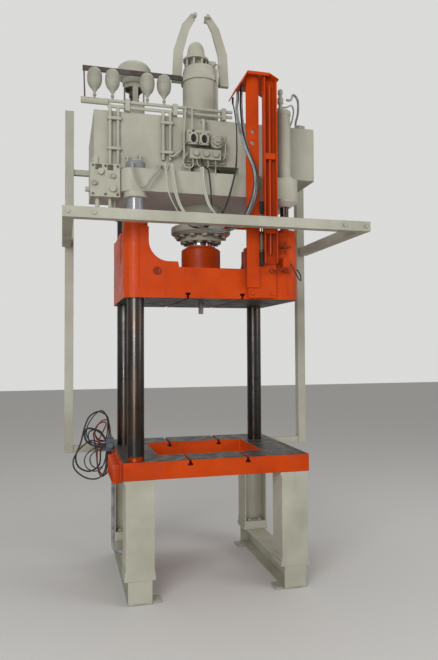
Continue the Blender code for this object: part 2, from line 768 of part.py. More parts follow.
def wall_profile(half, boss_edge, boss_top):
    """A slide wall seen from outside: low in the middle, sweeping up to the boss at each end."""
    swept = arc((boss_edge - GUSSET_REACH, SLIDE_WALL_TOP + LEDGE_RISE + GUSSET_RISE), GUSSET_REACH, 0, -90, 8)
    stretch = GUSSET_RISE / GUSSET_REACH
    middle_z = SLIDE_WALL_TOP + LEDGE_RISE + GUSSET_RISE
    swept = [(x, middle_z + (z - middle_z) * stretch) for x, z in swept]
    ledge_end = boss_edge - GUSSET_REACH - LEDGE_REACH
    right = [(boss_edge, boss_top)] + swept + [(ledge_end, SLIDE_WALL_TOP + LEDGE_RISE),
                                               (ledge_end - 0.008, SLIDE_WALL_TOP)]
    top = [(half, boss_top)] + right
    return [(-half, SLIDE_BOTTOM), (half, SLIDE_BOTTOM)] + top + mirror_x(top)


def build_slide():
    """The moving casting: floor, four swept walls, column bosses, hub and ribs."""
    half_w = SLIDE_W / 2
    half_d = SLIDE_D / 2
    boss_r = BOSS_DIA / 2
    floor_top = SLIDE_BOTTOM + SLIDE_FLOOR
    outline = rounded_rectangle(half_w, half_d, boss_r, 8)
    slide = make_object("slide", prism(outline, SLIDE_BOTTOM, floor_top), "orange_paint", at=(AXIS_X, 0, 0))
    column_x = COLUMN_SPAN_X / 2
    column_y = COLUMN_SPAN_Y / 2
    inner = column_x - boss_r * 0.2
    front = wall_profile(inner, column_x - boss_r + 0.004, BOSS_TOP - 0.02)
    side = wall_profile(column_y - boss_r * 0.2, column_y - boss_r + 0.004, BOSS_TOP - 0.02)
    parts = [
        prism(front, -half_d, -half_d + SLIDE_WALL, "Y"),
        prism(front, half_d - SLIDE_WALL, half_d, "Y"),
        prism(side, -half_w, -half_w + SLIDE_WALL, "X"),
        prism(side, half_w - SLIDE_WALL, half_w, "X"),
    ]
    parts.append(box((-half_w, SIDE_PLATE_FRONT, SLIDE_BOTTOM),
                     (-half_w + SLIDE_WALL, column_y, BOSS_TOP - 0.02)))
    tops = {(-1, -1): TALL_BOSS_TOP, (-1, 1): BOSS_TOP, (1, 1): BOSS_TOP, (1, -1): BOSS_TOP}
    for (sx, sy), top in tops.items():
        corner = (sx * (half_w - boss_r), sy * (half_d - boss_r))
        parts.append(shift(disc(boss_r, SLIDE_BOTTOM, top, edge=0.006), (*corner, 0)))
    parts.append(disc(HUB_DIA / 2, SLIDE_BOTTOM, HUB_TOP, edge=HUB_EDGE))
    stud = lay_along(disc(LATCH_STUD / 2, SLIDE_FACE - LATCH_STAND_OFF, SLIDE_FACE + SLIDE_WALL / 2, 12), "Y")
    parts.append(shift(stud, (LATCH_XZ[0] - AXIS_X, 0, LATCH_XZ[1])))
    parts.append(box((-half_w + SLIDE_WALL / 2, -RIB / 2, SLIDE_BOTTOM),
                     (half_w - SLIDE_WALL / 2, RIB / 2, RIB_TOP)))
    for x in (-SLIDE_W / 5, SLIDE_W / 5):
        parts.append(box((x - RIB / 2, -half_d + SLIDE_WALL / 2, SLIDE_BOTTOM),
                         (x + RIB / 2, half_d - SLIDE_WALL / 2, RIB_TOP)))
    weld(slide, parts)
    bush_r = COLUMN_DIA / 2 + RUN + BUSH_WALL + GAP
    cutters = []
    for x, y in COLUMN_XY.values():
        cutters.append(shift(disc(bush_r, SLIDE_BOTTOM - 0.01, TALL_BOSS_TOP + 0.01), (x - AXIS_X, y, 0)))
    for side_sign in (-1, 1):
        cutters.append(tee_slot(side_sign * SLIDE_SLOT_SPAN / 2, SLIDE_BOTTOM, 1, -half_d - 0.01, half_d + 0.01))
    cutters.append(disc(PIN_DIA / 2 + RUN, SLIDE_BOTTOM - 0.01, floor_top + 0.01, SMALL_ROUND))
    cutters.append(disc(CAVITY_DIA / 2, floor_top, floor_top + CAVITY_H))
    cutters.append(disc(RAM_DIA / 2 + GAP, HUB_TOP - RAM_SEAT, HUB_TOP + 0.01))
    cut(slide, cutters)
    return slide


def build_slide_bushes():
    """Bronze bushes that run on the columns, a little proud of their housings."""
    inner = COLUMN_DIA / 2 + RUN
    bushes = []
    for name, (x, y) in COLUMN_XY.items():
        top = TALL_BOSS_TOP if name == "front_left" else BOSS_TOP
        bush = ring(inner + BUSH_WALL, inner, SLIDE_BOTTOM, top + BUSH_PROUD, edge=0.002)
        bushes.append(make_object(f"bush_{name}", bush, "bronze", at=(x, y, 0), smooth=True))
    return bushes


def build_ram():
    """The ram with its piston head seats in the hub and is held down by a bolted ring."""
    place = (AXIS_X, 0, 0)
    r = RAM_DIA / 2
    head = BORE_DIA / 2 - RUN
    top = CYLINDER_TOP - PISTON_ROOM
    profile = [(0.0, HUB_TOP - RAM_SEAT + GAP), (r, HUB_TOP - RAM_SEAT + GAP), (r, top - PISTON_H),
               (head, top - PISTON_H), (head, top - 0.004), (head - 0.004, top), (0.0, top)]
    ram = make_object("ram", turned(profile), "bright_steel", at=place, smooth=True)
    low = HUB_TOP + GAP
    high = low + RAM_RING_H
    holder = make_object("ram_ring", ring(RAM_RING_DIA / 2, r + GAP, low, high, edge=0.003), "orange_paint",
                         at=place, smooth=True)
    reach = (RAM_RING_DIA / 2 + r) / 2
    weld(holder, [shift(bolt_head(RAM_RING_BOLT, high - SINK), (reach * math.cos(a), reach * math.sin(a), 0))
                  for a in around(8)])
    return [ram, holder]


def build_knockout_pin():
    """A loose pin hangs by its head from the slide's floor and lifts when something meets it."""
    floor_top = SLIDE_BOTTOM + SLIDE_FLOOR
    head_low = floor_top + GAP
    profile = [(0.0, SLIDE_BOTTOM - PIN_REACH), (PIN_DIA / 2 - 0.004, SLIDE_BOTTOM - PIN_REACH),
               (PIN_DIA / 2, SLIDE_BOTTOM - PIN_REACH + 0.004), (PIN_DIA / 2, head_low),
               (PIN_HEAD_DIA / 2, head_low), (PIN_HEAD_DIA / 2, head_low + PIN_HEAD_H),
               (0.0, head_low + PIN_HEAD_H)]
    return make_object("knockout_pin", turned(profile, SMALL_ROUND), "bright_steel", at=(AXIS_X, 0, 0),
                       smooth=True)


def build_cylinder():
    """The pressing cylinder hangs through the crown and is closed by flange, gland and head."""
    place = (AXIS_X, 0, 0)
    bore = BORE_DIA / 2
    shoulder = CROWN_BOTTOM - GAP
    wall = [(bore, LOWER_BODY_BOTTOM), (LOWER_BODY_DIA / 2, LOWER_BODY_BOTTOM),
            (LOWER_BODY_DIA / 2, shoulder), (CYLINDER_DIA / 2, shoulder),
            (CYLINDER_DIA / 2, CYLINDER_TOP), (bore, CYLINDER_TOP)]
    make_object("cylinder_body", turned(wall, ROUND, closed=True), "cream_paint", at=place, smooth=True)
    flange_top = LOWER_BODY_BOTTOM - GAP
    flange_low = flange_top - FLANGE_H
    neck = RAM_DIA / 2 + RUN
    cone = [(neck, flange_low), (FLANGE_DIA / 2 - 0.030, flange_low), (FLANGE_DIA / 2, flange_low + 0.022),
            (FLANGE_DIA / 2, flange_top - 0.006), (FLANGE_DIA / 2 - 0.006, flange_top), (neck, flange_top)]
    flange = make_object("cylinder_flange", turned(cone, ROUND, closed=True), "cream_paint", at=place,
                         smooth=True)
    gland_top = flange_low - GAP
    gland = make_object("gland_ring", ring(GLAND_DIA / 2, neck, gland_top - GLAND_H, gland_top), "cream_paint",
                        at=place, smooth=True)
    weld(gland, bolt_circle(GLAND_BOLT, GLAND_DIA / 2 - 0.020, gland_top - GLAND_H, 0.5))
    weld(flange, bolt_circle(FLANGE_BOLT, FLANGE_DIA / 2 - 0.045, flange_low, 0.9))
    head_low = CYLINDER_TOP + GAP
    head_top = head_low + HEAD_H
    head = make_object("cylinder_head", disc(CYLINDER_DIA / 2 - 0.004, head_low, head_top, edge=0.010),
                       "cream_paint", at=place, smooth=True)
    weld(head, prefill_valve(head_top - SINK))


def bolt_circle(size, reach, face, offset):
    """Bolt heads hanging from a ring's lower face."""
    heads = []
    for angle in around(GLAND_BOLTS, offset):
        head = bolt_head(size, face + SINK - 0.65 * size)
        heads.append(shift(head, (reach * math.cos(angle), reach * math.sin(angle), 0)))
    return heads


def prefill_valve(low):
    """A domed valve that stands on a core and short posts over the cylinder head."""
    plate_low = low + VALVE_POST_H
    plate_r = VALVE_PLATE_DIA / 2
    core_r = VALVE_CORE_DIA / 2
    cap_r = VALVE_CAP_DIA / 2
    shoulder = plate_low + VALVE_PLATE_H
    neck = shoulder + (VALVE_CAP_TOP - shoulder) * 0.35
    profile = [(0.0, low), (core_r, low), (core_r, plate_low), (plate_r, plate_low), (plate_r, shoulder - 0.005),
               (plate_r - 0.006, shoulder), (cap_r, shoulder + 0.002)]
    for step in range(6):
        angle = math.pi / 2 * step / 6
        profile.append((cap_r * 0.86 * math.cos(angle), neck + (VALVE_CAP_TOP - neck) * math.sin(angle)))
    profile.append((0.0, VALVE_CAP_TOP))
    reach = plate_r - VALVE_POST_DIA
    pieces = [turned(profile)]
    for a in around(8):
        post = disc(VALVE_POST_DIA / 2, low, plate_low + SINK, 6)
        pieces.append(shift(post, (reach * math.cos(a), reach * math.sin(a), 0)))
    for piece in pieces:
        shift(piece, (VALVE_SET, 0, 0))
    w, d, h = HEAD_FITTING
    pieces.append(box((HEAD_FITTING_X - w / 2, -d, low - SINK), (HEAD_FITTING_X + w / 2, 0, low + h)))
    pieces.append(shift(lay_along(disc(0.016, -0.020, SINK, SMALL_ROUND), "Y"), (HEAD_FITTING_X, -d, low + h / 2)))
    return pieces


def build_yoke():
    """A band round the cylinder with ears, two bent bars and the pins a hoist would take."""
    place = (AXIS_X, 0, 0)
    low = BAND_Z - BAND_H / 2
    high = BAND_Z + BAND_H / 2
    inner = CYLINDER_DIA / 2 + GAP
    half = YOKE_W / 2
    band = make_object("yoke_band", ring(inner + BAND_WALL, inner, low, high), "cream_paint", at=place)
    ears = []
    for side in (-1, 1):
        x0, x1 = sorted((side * (inner + BAND_WALL / 2), side * (YOKE_SPAN / 2 + half)))
        ears.append(box((x0, -YOKE_THICK / 2, low), (x1, YOKE_THICK / 2, high)))
    weld(band, ears)
    foot_x = YOKE_SPAN / 2
    knee_x = foot_x - YOKE_KNEE_IN
    shoulder_x, shoulder_z = YOKE_SHOULDER
    top_x, top_z = YOKE_TOP
    outline = [(foot_x - half, low), (foot_x + half, low), (knee_x + half, YOKE_KNEE_Z),
               (shoulder_x + half * 0.8, shoulder_z + half * 0.5), (top_x + half * 0.6, top_z + half * 0.7),
               (top_x - half * 0.6, top_z + half * 0.3), (shoulder_x - half * 0.8, shoulder_z - half * 0.5),
               (knee_x - half, YOKE_KNEE_Z - half * 0.5)]
    back_y = -YOKE_THICK / 2 - GAP
    front_y = back_y - YOKE_THICK
    for name, side in (("left", -1), ("right", 1)):
        points = outline if side > 0 else mirror_x(outline)
        bar = make_object(f"yoke_bar_{name}", prism(points, front_y, back_y, "Y"), "cream_paint", at=place)
        pin = lay_along(disc(YOKE_PIN_DIA / 2, -YOKE_PIN_LENGTH / 2, YOKE_PIN_LENGTH / 2, SMALL_ROUND), "Y")
        weld(bar, [shift(pin, (side * top_x, (front_y + back_y) / 2, top_z))])


def build_top_rail():
    """A flat rail bolted on the yoke's left foot runs out over the tank, stayed by a thin rod."""
    depth, height = RAIL
    low = BAND_Z - height / 2
    back = -YOKE_THICK / 2 - YOKE_THICK - 2 * GAP
    foot_right = AXIS_X - YOKE_SPAN / 2 + YOKE_W / 2
    rail = box((RAIL_X, back - depth, low), (foot_right, back, low + height))
    top = (RAIL_X + RAIL_ROD_DIA, back - depth / 2, low + SINK)
    foot = (RAIL_X + RAIL_ROD_DIA, HEADER_Y, STUB_Z + STUB_DIA / 2 + GAP + RAIL_ROD_DIA / 4)
    weld(make_object("top_rail", rail, "worn_steel"), [rod_between(foot, top, RAIL_ROD_DIA, 8)])


def build_tank():
    """A saddle tank behind and around the cylinder, welded on two channel feet over the crown."""
    half = TANK_W / 2
    edge = TANK_EDGE
    outline = rounded_rectangle(half, (TANK_BACK - TANK_FRONT) / 2, edge, 2, (0, (TANK_BACK + TANK_FRONT) / 2))
    tank = make_object("tank", prism(outline, TANK_BOTTOM, TANK_TOP), "cream_paint")
    well = CYLINDER_DIA / 2 + TANK_WELL_GAP
    cut(tank, [
        shift(disc(well, TANK_BOTTOM - 0.01, TANK_TOP + 0.01), (AXIS_X, 0, 0)),
        box((TANK_NOTCH[0], TANK_FRONT - 0.01, TANK_BOTTOM - 0.01),
            (TANK_NOTCH[1], TANK_BACK + 0.01, TANK_BOTTOM + TANK_NOTCH_RISE)),
    ])
    high = TANK_BOTTOM + TANK_RAIL_WALL / 2
    low = CROWN_TOP + GAP
    w = TANK_RAIL_W / 2
    t = TANK_RAIL_WALL
    rails = []
    for side in (-1, 1):
        x = AXIS_X + side * TANK_RAIL_SPAN / 2
        section = [(x - w, low), (x + w, low), (x + w, low + t), (x - w + t, low + t), (x - w + t, high - t),
                   (x + w, high - t), (x + w, high), (x - w, high)]
        rails.append(prism(section, TANK_FRONT + TANK_RAIL_SETBACK, CROWN_D / 2 - TANK_RAIL_SETBACK, "Y"))
    weld(tank, rails + pipe_clamps())
    cut(tank, pipe_holes())


def hollow_bar(length, size=TUBE):
    """Square tube along Z from 0 to length, open at both ends."""
    half = size / 2
    hole = half - TUBE_WALL
    bm = bmesh.new()
    rows = []
    for z in (0.0, length):
        for reach in (half, hole):
            rows.append([bm.verts.new((sx * reach, sy * reach, z)) for sx, sy in
                         ((-1, -1), (1, -1), (1, 1), (-1, 1))])
    low_out, low_in, high_out, high_in = rows
    for a in range(4):
        b = (a + 1) % 4
        bm.faces.new((low_out[a], low_out[b], high_out[b], high_out[a]))
        bm.faces.new((low_in[b], low_in[a], high_in[a], high_in[b]))
        bm.faces.new((low_out[b], low_out[a], low_in[a], low_in[b]))
        bm.faces.new((high_out[a], high_out[b], high_in[b], high_in[a]))
    return bm


def build_guard():
    """Square-tube frame round the crown: posts beside the bed, arms forward, a beam across.

    Each post is welded to brackets that meet the bed and the tank.
    """
    half = TUBE / 2
    beam_y = GUARD_FRONT + half
    beam = make_object("guard_beam", lay_along(hollow_bar(GUARD_W), "X"), "cream_paint",
                       at=(-GUARD_W / 2, beam_y, GUARD_Z))
    arm_x = GUARD_W / 2 - half
    post_x = POST_SPAN / 2
    arm_start = GUARD_FRONT + TUBE + GAP
    arm_end = POST_Y - half - GAP
    bolts = []
    for name, side in (("left", -1), ("right", 1)):
        arm = lay_along(hollow_bar(arm_end - arm_start), "Y")
        make_object(f"guard_arm_{name}", arm, "cream_paint", at=(side * arm_x, arm_start, GUARD_Z))
        post = make_object(f"guard_post_{name}", hollow_bar(POST_TOP - POST_BOTTOM), "cream_paint",
                           at=(side * post_x, POST_Y, POST_BOTTOM))
        brackets = []
        for from_x, low, size in ((BED_W / 2, 0.0, STUB_H), (TANK_W / 2, STAY_Z - STAY / 2 - POST_BOTTOM, STAY)):
            x0, x1 = sorted((side * (from_x + GAP - post_x), side * (TUBE_WALL / 2 - half)))
            brackets.append(box((x0, -size / 2, low), (x1, size / 2, low + size)))
        weld(post, brackets)
        for offset in (0.0, GUARD_BOLT_STEP):
            head = lay_along(bolt_head(GUARD_BOLT, 0), "Y")
            bolts.append(shift(head, (side * (arm_x - offset) + GUARD_W / 2, SINK - half - GUARD_BOLT_HEAD, 0)))
    weld(beam, bolts)


def hood_section():
    """The bent sheet seen from the front: a steep left side, a flat top and a sloping right side."""
    left, right = HOOD_X
    top = HOOD_TOP
    sheet = HOOD_SHEET
    flap, flap_drop = HOOD_FLAP
    eave, eave_drop = HOOD_EAVE
    outside = [(left, top - flap_drop), (left + flap, top), (right - eave, top), (right, top - eave_drop)]
    inside = [(right, top - eave_drop - 1.13 * sheet), (right - eave - 0.25 * sheet, top - sheet),
              (left + flap + 0.5 * sheet, top - sheet), (left + 1.25 * sheet, top - flap_drop)]
    return outside + inside


def under_hood(x):
    """The height of the hood's underside at x, on its left side or its flat top."""
    (flat_x, flat_z), (low_x, low_z) = hood_section()[-2:]
    return min(flat_z, low_z + (x - low_x) * (flat_z - low_z) / (flat_x - low_x))


def build_mast():
    """An upright on the slide's front: blade and channel on a foot plate, under a cable hood."""
    things = []
    foot = box((MAST_X[0], MAST_FACE, MAST_FOOT_Z[0]), (MAST_X[1], SLIDE_FACE - GAP, MAST_FOOT_Z[1]))
    things.append(make_object("mast_foot", foot, "orange_paint"))
    heads = []
    for x in (MAST_X[0] + MAST_BOLT_EDGE, MAST_X[1] - MAST_BOLT_EDGE):
        head = lay_along(bolt_head(MAST_BOLT, 0), "Y")
        heads.append(shift(head, (x, MAST_FACE + SINK - 0.65 * MAST_BOLT, MAST_FOOT_Z[0] + MAST_BOLT_EDGE)))
    weld(things[0], heads)
    top = HOOD_TOP - HOOD_SHEET - GAP
    back = MAST_FACE - GAP
    blade = make_object("mast_blade", box((BLADE_X[0], back - BLADE_THICK, BLADE_BOTTOM),
                                          (BLADE_X[1], back, top)), "orange_paint")
    holes = []
    hole_x = (BLADE_X[0] + BLADE_X[1]) / 2
    for z in BLADE_HOLE_Z:
        hole = lay_along(disc(BLADE_HOLE / 2, -0.05, 0.05, SMALL_ROUND), "Y")
        holes.append(shift(hole, (hole_x, back - BLADE_THICK / 2, z)))
    cut(blade, holes)
    weld(blade, cable_arm(back))
    things.append(blade)
    x0, x1 = CHANNEL_X
    wall = CHANNEL_WALL
    front = back - CHANNEL_DEPTH
    section = [(x0, front), (x0 + wall, front), (x0 + wall, back - wall), (x1 - wall, back - wall),
               (x1 - wall, front), (x1, front), (x1, back), (x0, back)]
    channel = make_object("mast_channel", prism(section, CHANNEL_BOTTOM, top), "orange_paint")
    (eave_x, eave_z), (flat_x, flat_z) = hood_section()[4:6]
    over = HOOD_TOP + HOOD_SHEET
    above = [(flat_x, flat_z - GAP), (eave_x, eave_z - GAP), (eave_x, over), (flat_x, over)]
    cut(channel, [prism(above, front - 0.01, back + 0.01, "Y")])
    things.append(channel)
    hood = make_object("mast_hood", prism(hood_section(), HOOD_FRONT, HOOD_BACK, "Y"), "orange_paint")
    flat_left = HOOD_X[0] + HOOD_FLAP[0]
    flat_right = HOOD_X[1] - HOOD_EAVE[0]
    weld(hood, [box((flat_left, HOOD_FRONT, HOOD_TOP - HOOD_LIP),
                    (flat_right, HOOD_FRONT + HOOD_SHEET, HOOD_TOP - HOOD_SHEET / 2))])
    things.append(hood)
    things += build_cams(back, front)
    return things


def build_cams(back, front):
    """A round rod in the channel with two clamped dogs that trip the switches."""
    x = (CHANNEL_X[0] + CHANNEL_X[1]) / 2
    y = back - CHANNEL_WALL - CAM_ROD_SET
    low = CHANNEL_BOTTOM + CAM_ROD_END
    high = HOOD_TOP - HOOD_SHEET - CAM_ROD_END
    rod = make_object("cam_rod", disc(CAM_ROD_DIA / 2, low, high, 12), "orange_paint", at=(x, y, 0))
    inside = (CHANNEL_X[1] - CHANNEL_X[0]) / 2 - CHANNEL_WALL - GAP
    weld(rod, [box((-inside, front + CAM_ROD_DIA / 2 - y, z - DOG_H / 2),
                   (inside, back - CHANNEL_WALL - GAP - y, z + DOG_H / 2)) for z in DOG_Z])
    return [rod]


def cable_arm(back):
    """A bar welded to the blade whose eye gathers the cables."""
    x0, x1 = ARM_X
    y = back - BLADE_THICK / 2
    low = ARM_Z - ARM_H / 2
    bar = box((x0, y - ARM_H / 2, low), (x1 + 0.002, y + ARM_H / 2 - 0.001, low + ARM_H))
    r = ARM_LOOP_DIA / 2
    eye = lay_along(ring(r, r - ARM_H / 2, -ARM_H / 2, ARM_H / 2 - 0.001, SMALL_ROUND), "Y")
    return [bar, shift(eye, (x0, y, low - r + ARM_H / 4))]


def build_slide_switch():
    """A switch box on the slide's front right, with a long lever and ring that something trips."""
    x0, x1 = SLIDE_SWITCH_X
    z0, z1 = SLIDE_SWITCH_Z
    middle = (x0 + x1) / 2
    back = SLIDE_FACE - GAP
    face = back - SLIDE_SWITCH_DEPTH
    hub = SLIDE_SWITCH_HUB / 2
    case = make_object("slide_switch", box((x0, face, z0), (x1, back, z1)), "orange_paint")
    pivot = (middle, face - SLIDE_SWITCH_NOSE, z0 + hub + 0.004)
    weld(case, [
        shift(disc(hub, z1 - 0.002, z1 + SLIDE_SWITCH_NOSE, 12), (middle, (face + back) / 2, 0)),
        shift(lay_along(disc(hub, 0, SLIDE_SWITCH_NOSE + 0.002, 12), "Y"), (middle, pivot[1], pivot[2])),
    ])
    t = LEVER_THICK
    half = LEVER_W / 2
    reach = SLIDE_LEVER_REACH
    arm = [(half, -half), (half, half), (-reach, half - LEVER_DROP), (-reach, -half - LEVER_DROP)]
    lever = make_object("slide_switch_lever", prism(arm, -t - GAP, -GAP, "Y"), "worn_steel", at=pivot)
    r = LEVER_RING_DIA / 2
    eye = lay_along(ring(r, r - half, -t - GAP, -GAP, SMALL_ROUND), "Y")
    weld(lever, [shift(eye, (-reach - r + half / 2, 0, -LEVER_DROP))])
    return case, lever, pivot


def build_latch():
    """A cross-shaped hand latch that turns on a stud in the housing's front, above the switch."""
    x, z = LATCH_XZ
    pivot = (x, SLIDE_FACE - LATCH_STAND_OFF, z)
    t = LEVER_THICK
    half = LEVER_W / 2
    front = -t - GAP
    latch = make_object("latch", box((-LATCH_ARM, front, -half), (LATCH_ARM, -GAP, half)), "orange_paint",
                        at=pivot)
    weld(latch, [box((-half, front, -LATCH_ARM), (half, -GAP, LATCH_ARM * 0.8)),
                 lay_along(disc(LATCH_STUD / 2, front - 0.006, -GAP, 12), "Y")])
    return latch, pivot


def build_pump_set():
    """Vertical electric motor on a windowed bell housing; the coupling turns inside."""
    place = (PUMP_X, PUMP_Y, 0)
    low = TANK_TOP + GAP
    bell_low = low + PUMP_FLANGE_H
    r = BELL_DIA / 2
    foot = PUMP_FLANGE_DIA / 2
    wall = [(r - BELL_WALL, bell_low), (foot - 0.004, bell_low), (foot, bell_low - 0.004), (foot, low), (0.0, low)]
    housing = [(0.0, bell_low), (r - BELL_WALL, bell_low), (r - BELL_WALL, BELL_TOP), (r, BELL_TOP)]
    housing += [(r, bell_low)] + wall[1:]
    bell = make_object("bell_housing", turned(housing), "cream_paint", at=place, smooth=True)
    windows = []
    for turn in (0, 90):
        across = box((-BELL_DIA, -WINDOW_W / 2, WINDOW_Z[0]), (BELL_DIA, WINDOW_W / 2, WINDOW_Z[1]))
        bmesh.ops.rotate(across, verts=across.verts, matrix=Matrix.Rotation(math.radians(turn + 45), 3, "Z"))
        windows.append(across)
    cut(bell, windows)
    neck = MOTOR_NECK_DIA / 2
    base = BELL_TOP + GAP
    rim_low = base + MOTOR_NECK_H
    rim_top = rim_low + MOTOR_RIM_H
    dome = MOTOR_TOP - rim_top
    big = MOTOR_DIA / 2
    profile = [(0.0, base), (neck, base), (neck, rim_low - 0.012), (big - 0.012, rim_low), (big, rim_low + 0.008),
               (big, rim_top)]
    for step in range(1, 7):
        angle = math.pi / 2 * step / 6
        profile.append((big * math.cos(angle), rim_top + dome * math.sin(angle)))
    profile[-1] = (0.0, MOTOR_TOP)
    make_object("pump_motor", turned(profile, ROUND), "cream_paint", at=place, smooth=True)
    shaft_r = SHAFT_DIA / 2
    hub_r = COUPLING_DIA / 2
    shaft = [(0.0, bell_low + GAP), (shaft_r, bell_low + GAP), (shaft_r, WINDOW_Z[0] + 0.010), (hub_r, WINDOW_Z[0] + 0.010),
             (hub_r, 3.355), (hub_r - 0.012, 3.357), (hub_r - 0.012, 3.373), (hub_r, 3.375),
             (hub_r, WINDOW_Z[1] - 0.010), (shaft_r, WINDOW_Z[1] - 0.010), (shaft_r, BELL_TOP - 0.0006),
             (0.0, BELL_TOP - 0.0006)]
    coupling = make_object("coupling", turned(shaft, SMALL_ROUND), "worn_steel", at=place, smooth=True)
    weld(coupling, [box((hub_r - 0.004, -0.006, 3.400), (hub_r + 0.008, 0.006, 3.412))])
    return coupling


def build_pipes():
    """Two header pipes with four drops run along the tank's front edge, out to a thick end valve."""
    r = PIPE_DIA / 2
    x0, x1 = HEADER_X
    pipes = make_object("header_pipes", shift(lay_along(disc(r, x0, x1, 12), "X"), (0, HEADER_Y, UPPER_HEADER_Z)),
                        "cream_paint", smooth=True)
    tie = PIPE_TIE / 2
    added = [
        shift(lay_along(disc(r, x0, x1, 12), "X"), (0, HEADER_Y, LOWER_HEADER_Z)),
        shift(lay_along(disc(STUB_DIA / 2, STUB_X, x0 + SINK, SMALL_ROUND), "X"), (0, HEADER_Y, STUB_Z)),
        box((x0, HEADER_Y - tie, LOWER_HEADER_Z), (x0 + PIPE_DIA, HEADER_Y + tie, UPPER_HEADER_Z)),
    ]
    for drops, foot in ((LEFT_DROPS, SIDE_BLOCK_Z[1] + GAP), (RIGHT_DROPS, MANIFOLD_Z[0])):
        for x in drops:
            added.append(shift(disc(r, foot, LOWER_HEADER_Z, 12), (x, HEADER_Y, 0)))
    weld(pipes, added)


def pipe_clamps():
    """Clamps on the tank's face for the drops, and saddles on its top edge for the headers."""
    r = PIPE_DIA / 2
    front = HEADER_Y - r - CLAMP_EDGE
    clamps = []
    for pair in (LEFT_DROPS, RIGHT_DROPS):
        for z in CLAMP_Z:
            clamps.append(box((pair[0] - r - CLAMP_EDGE, front, z - CLAMP_H / 2),
                              (pair[1] + r + CLAMP_EDGE, TANK_FRONT + SINK, z + CLAMP_H / 2)))
    for x in SADDLE_X:
        clamps.append(box((x - SADDLE_W / 2, front, TANK_TOP - SINK),
                          (x + SADDLE_W / 2, TANK_FRONT + SADDLE_W, UPPER_HEADER_Z + r + CLAMP_EDGE)))
    return clamps


def pipe_holes():
    """The pipes' own shapes with a gap round them, to bore the clamps."""
    r = PIPE_DIA / 2 + GAP
    x0, x1 = HEADER_X
    holes = []
    for drops in (LEFT_DROPS, RIGHT_DROPS):
        for x in drops:
            holes.append(shift(disc(r, TANK_BOTTOM, TANK_TOP, 12), (x, HEADER_Y, 0)))
    for z in (LOWER_HEADER_Z, UPPER_HEADER_Z):
        holes.append(shift(lay_along(disc(r, x0 - 0.01, x1 + 0.01, 12), "X"), (0, HEADER_Y, z)))
    return holes


def build_accumulators():
    """Four pear-shaped accumulators stand on the upper header and its end valve."""
    r = BULB_DIA / 2
    middle = (BULB_TOP + BULB_BOTTOM) / 2
    tall = (BULB_TOP - BULB_BOTTOM) / 2
    neck = NECK_DIA / 2
    for number, x in enumerate(ACCUMULATOR_X, 1):
        seat = STUB_Z + STUB_DIA / 2 if x < HEADER_X[0] else UPPER_HEADER_Z + PIPE_DIA / 2
        low = seat + GAP
        profile = [(0.0, low), (HEX_DIA / 2, low), (HEX_DIA / 2, low + 0.018), (0.011, low + 0.020),
                   (0.011, low + 0.034), (neck, low + 0.042), (neck, BULB_BOTTOM + 0.006)]
        for step in range(1, 10):
            angle = -math.pi / 2 + math.pi * step / 10
            if r * math.cos(angle) > neck:
                profile.append((r * math.cos(angle), middle + tall * math.sin(angle)))
        profile += [(0.010, BULB_TOP - 0.001), (0.0, BULB_TOP)]
        make_object(f"accumulator_{number}", turned(profile, SMALL_ROUND), "cream_paint",
                    at=(x, HEADER_Y, 0), smooth=True)


def build_valves():
    """A side block at the crown's left end and a ported manifold on the tank's face."""
    y0, y1 = SIDE_BLOCK_Y
    z0, z1 = SIDE_BLOCK_Z
    side = make_object("side_valve", box((SIDE_BLOCK_X, y0, z0), (CROWN_LEFT - GAP, y1, z1)), "cream_paint")
    r = PIPE_DIA / 2
    block_mid = (SIDE_BLOCK_X + CROWN_LEFT) / 2
    weld(side, [
        box((CROWN_LEFT - 0.01, y0 + 0.06, CROWN_TOP + GAP), (CROWN_LEFT + SIDE_BLOCK_LUG, y1, z1)),
        shift(disc(r * 1.3, z0 - 0.060, z0 + 0.002, 12), (SIDE_BLOCK_X + 0.045, y0 + 0.045, 0)),
        shift(disc(r, z0 - 0.075, z0 + 0.002, 12), (block_mid + 0.030, y0 + 0.040, 0)),
        shift(disc(r, z0 - 0.060, z0 + 0.002, 12), (CROWN_LEFT - 0.030, y0 + 0.080, 0)),
        shift(disc(0.022, z1 - 0.002, z1 + 0.050, BOLT_ROUND), (SIDE_BLOCK_X + 0.035, y0 + 0.050, 0)),
        shift(lay_along(disc(0.016, -0.030, 0.002, 12), "X"), (SIDE_BLOCK_X, y0 + 0.040, z0 + 0.050)),
        shift(lay_along(disc(0.020, -0.018, 0.002, 12), "Y"), (block_mid - 0.030, y0, z1 - 0.055)),
        shift(lay_along(disc(0.020, -0.018, 0.002, 12), "Y"), (block_mid + 0.045, y0, z0 + 0.050)),
    ])
    build_manifold()


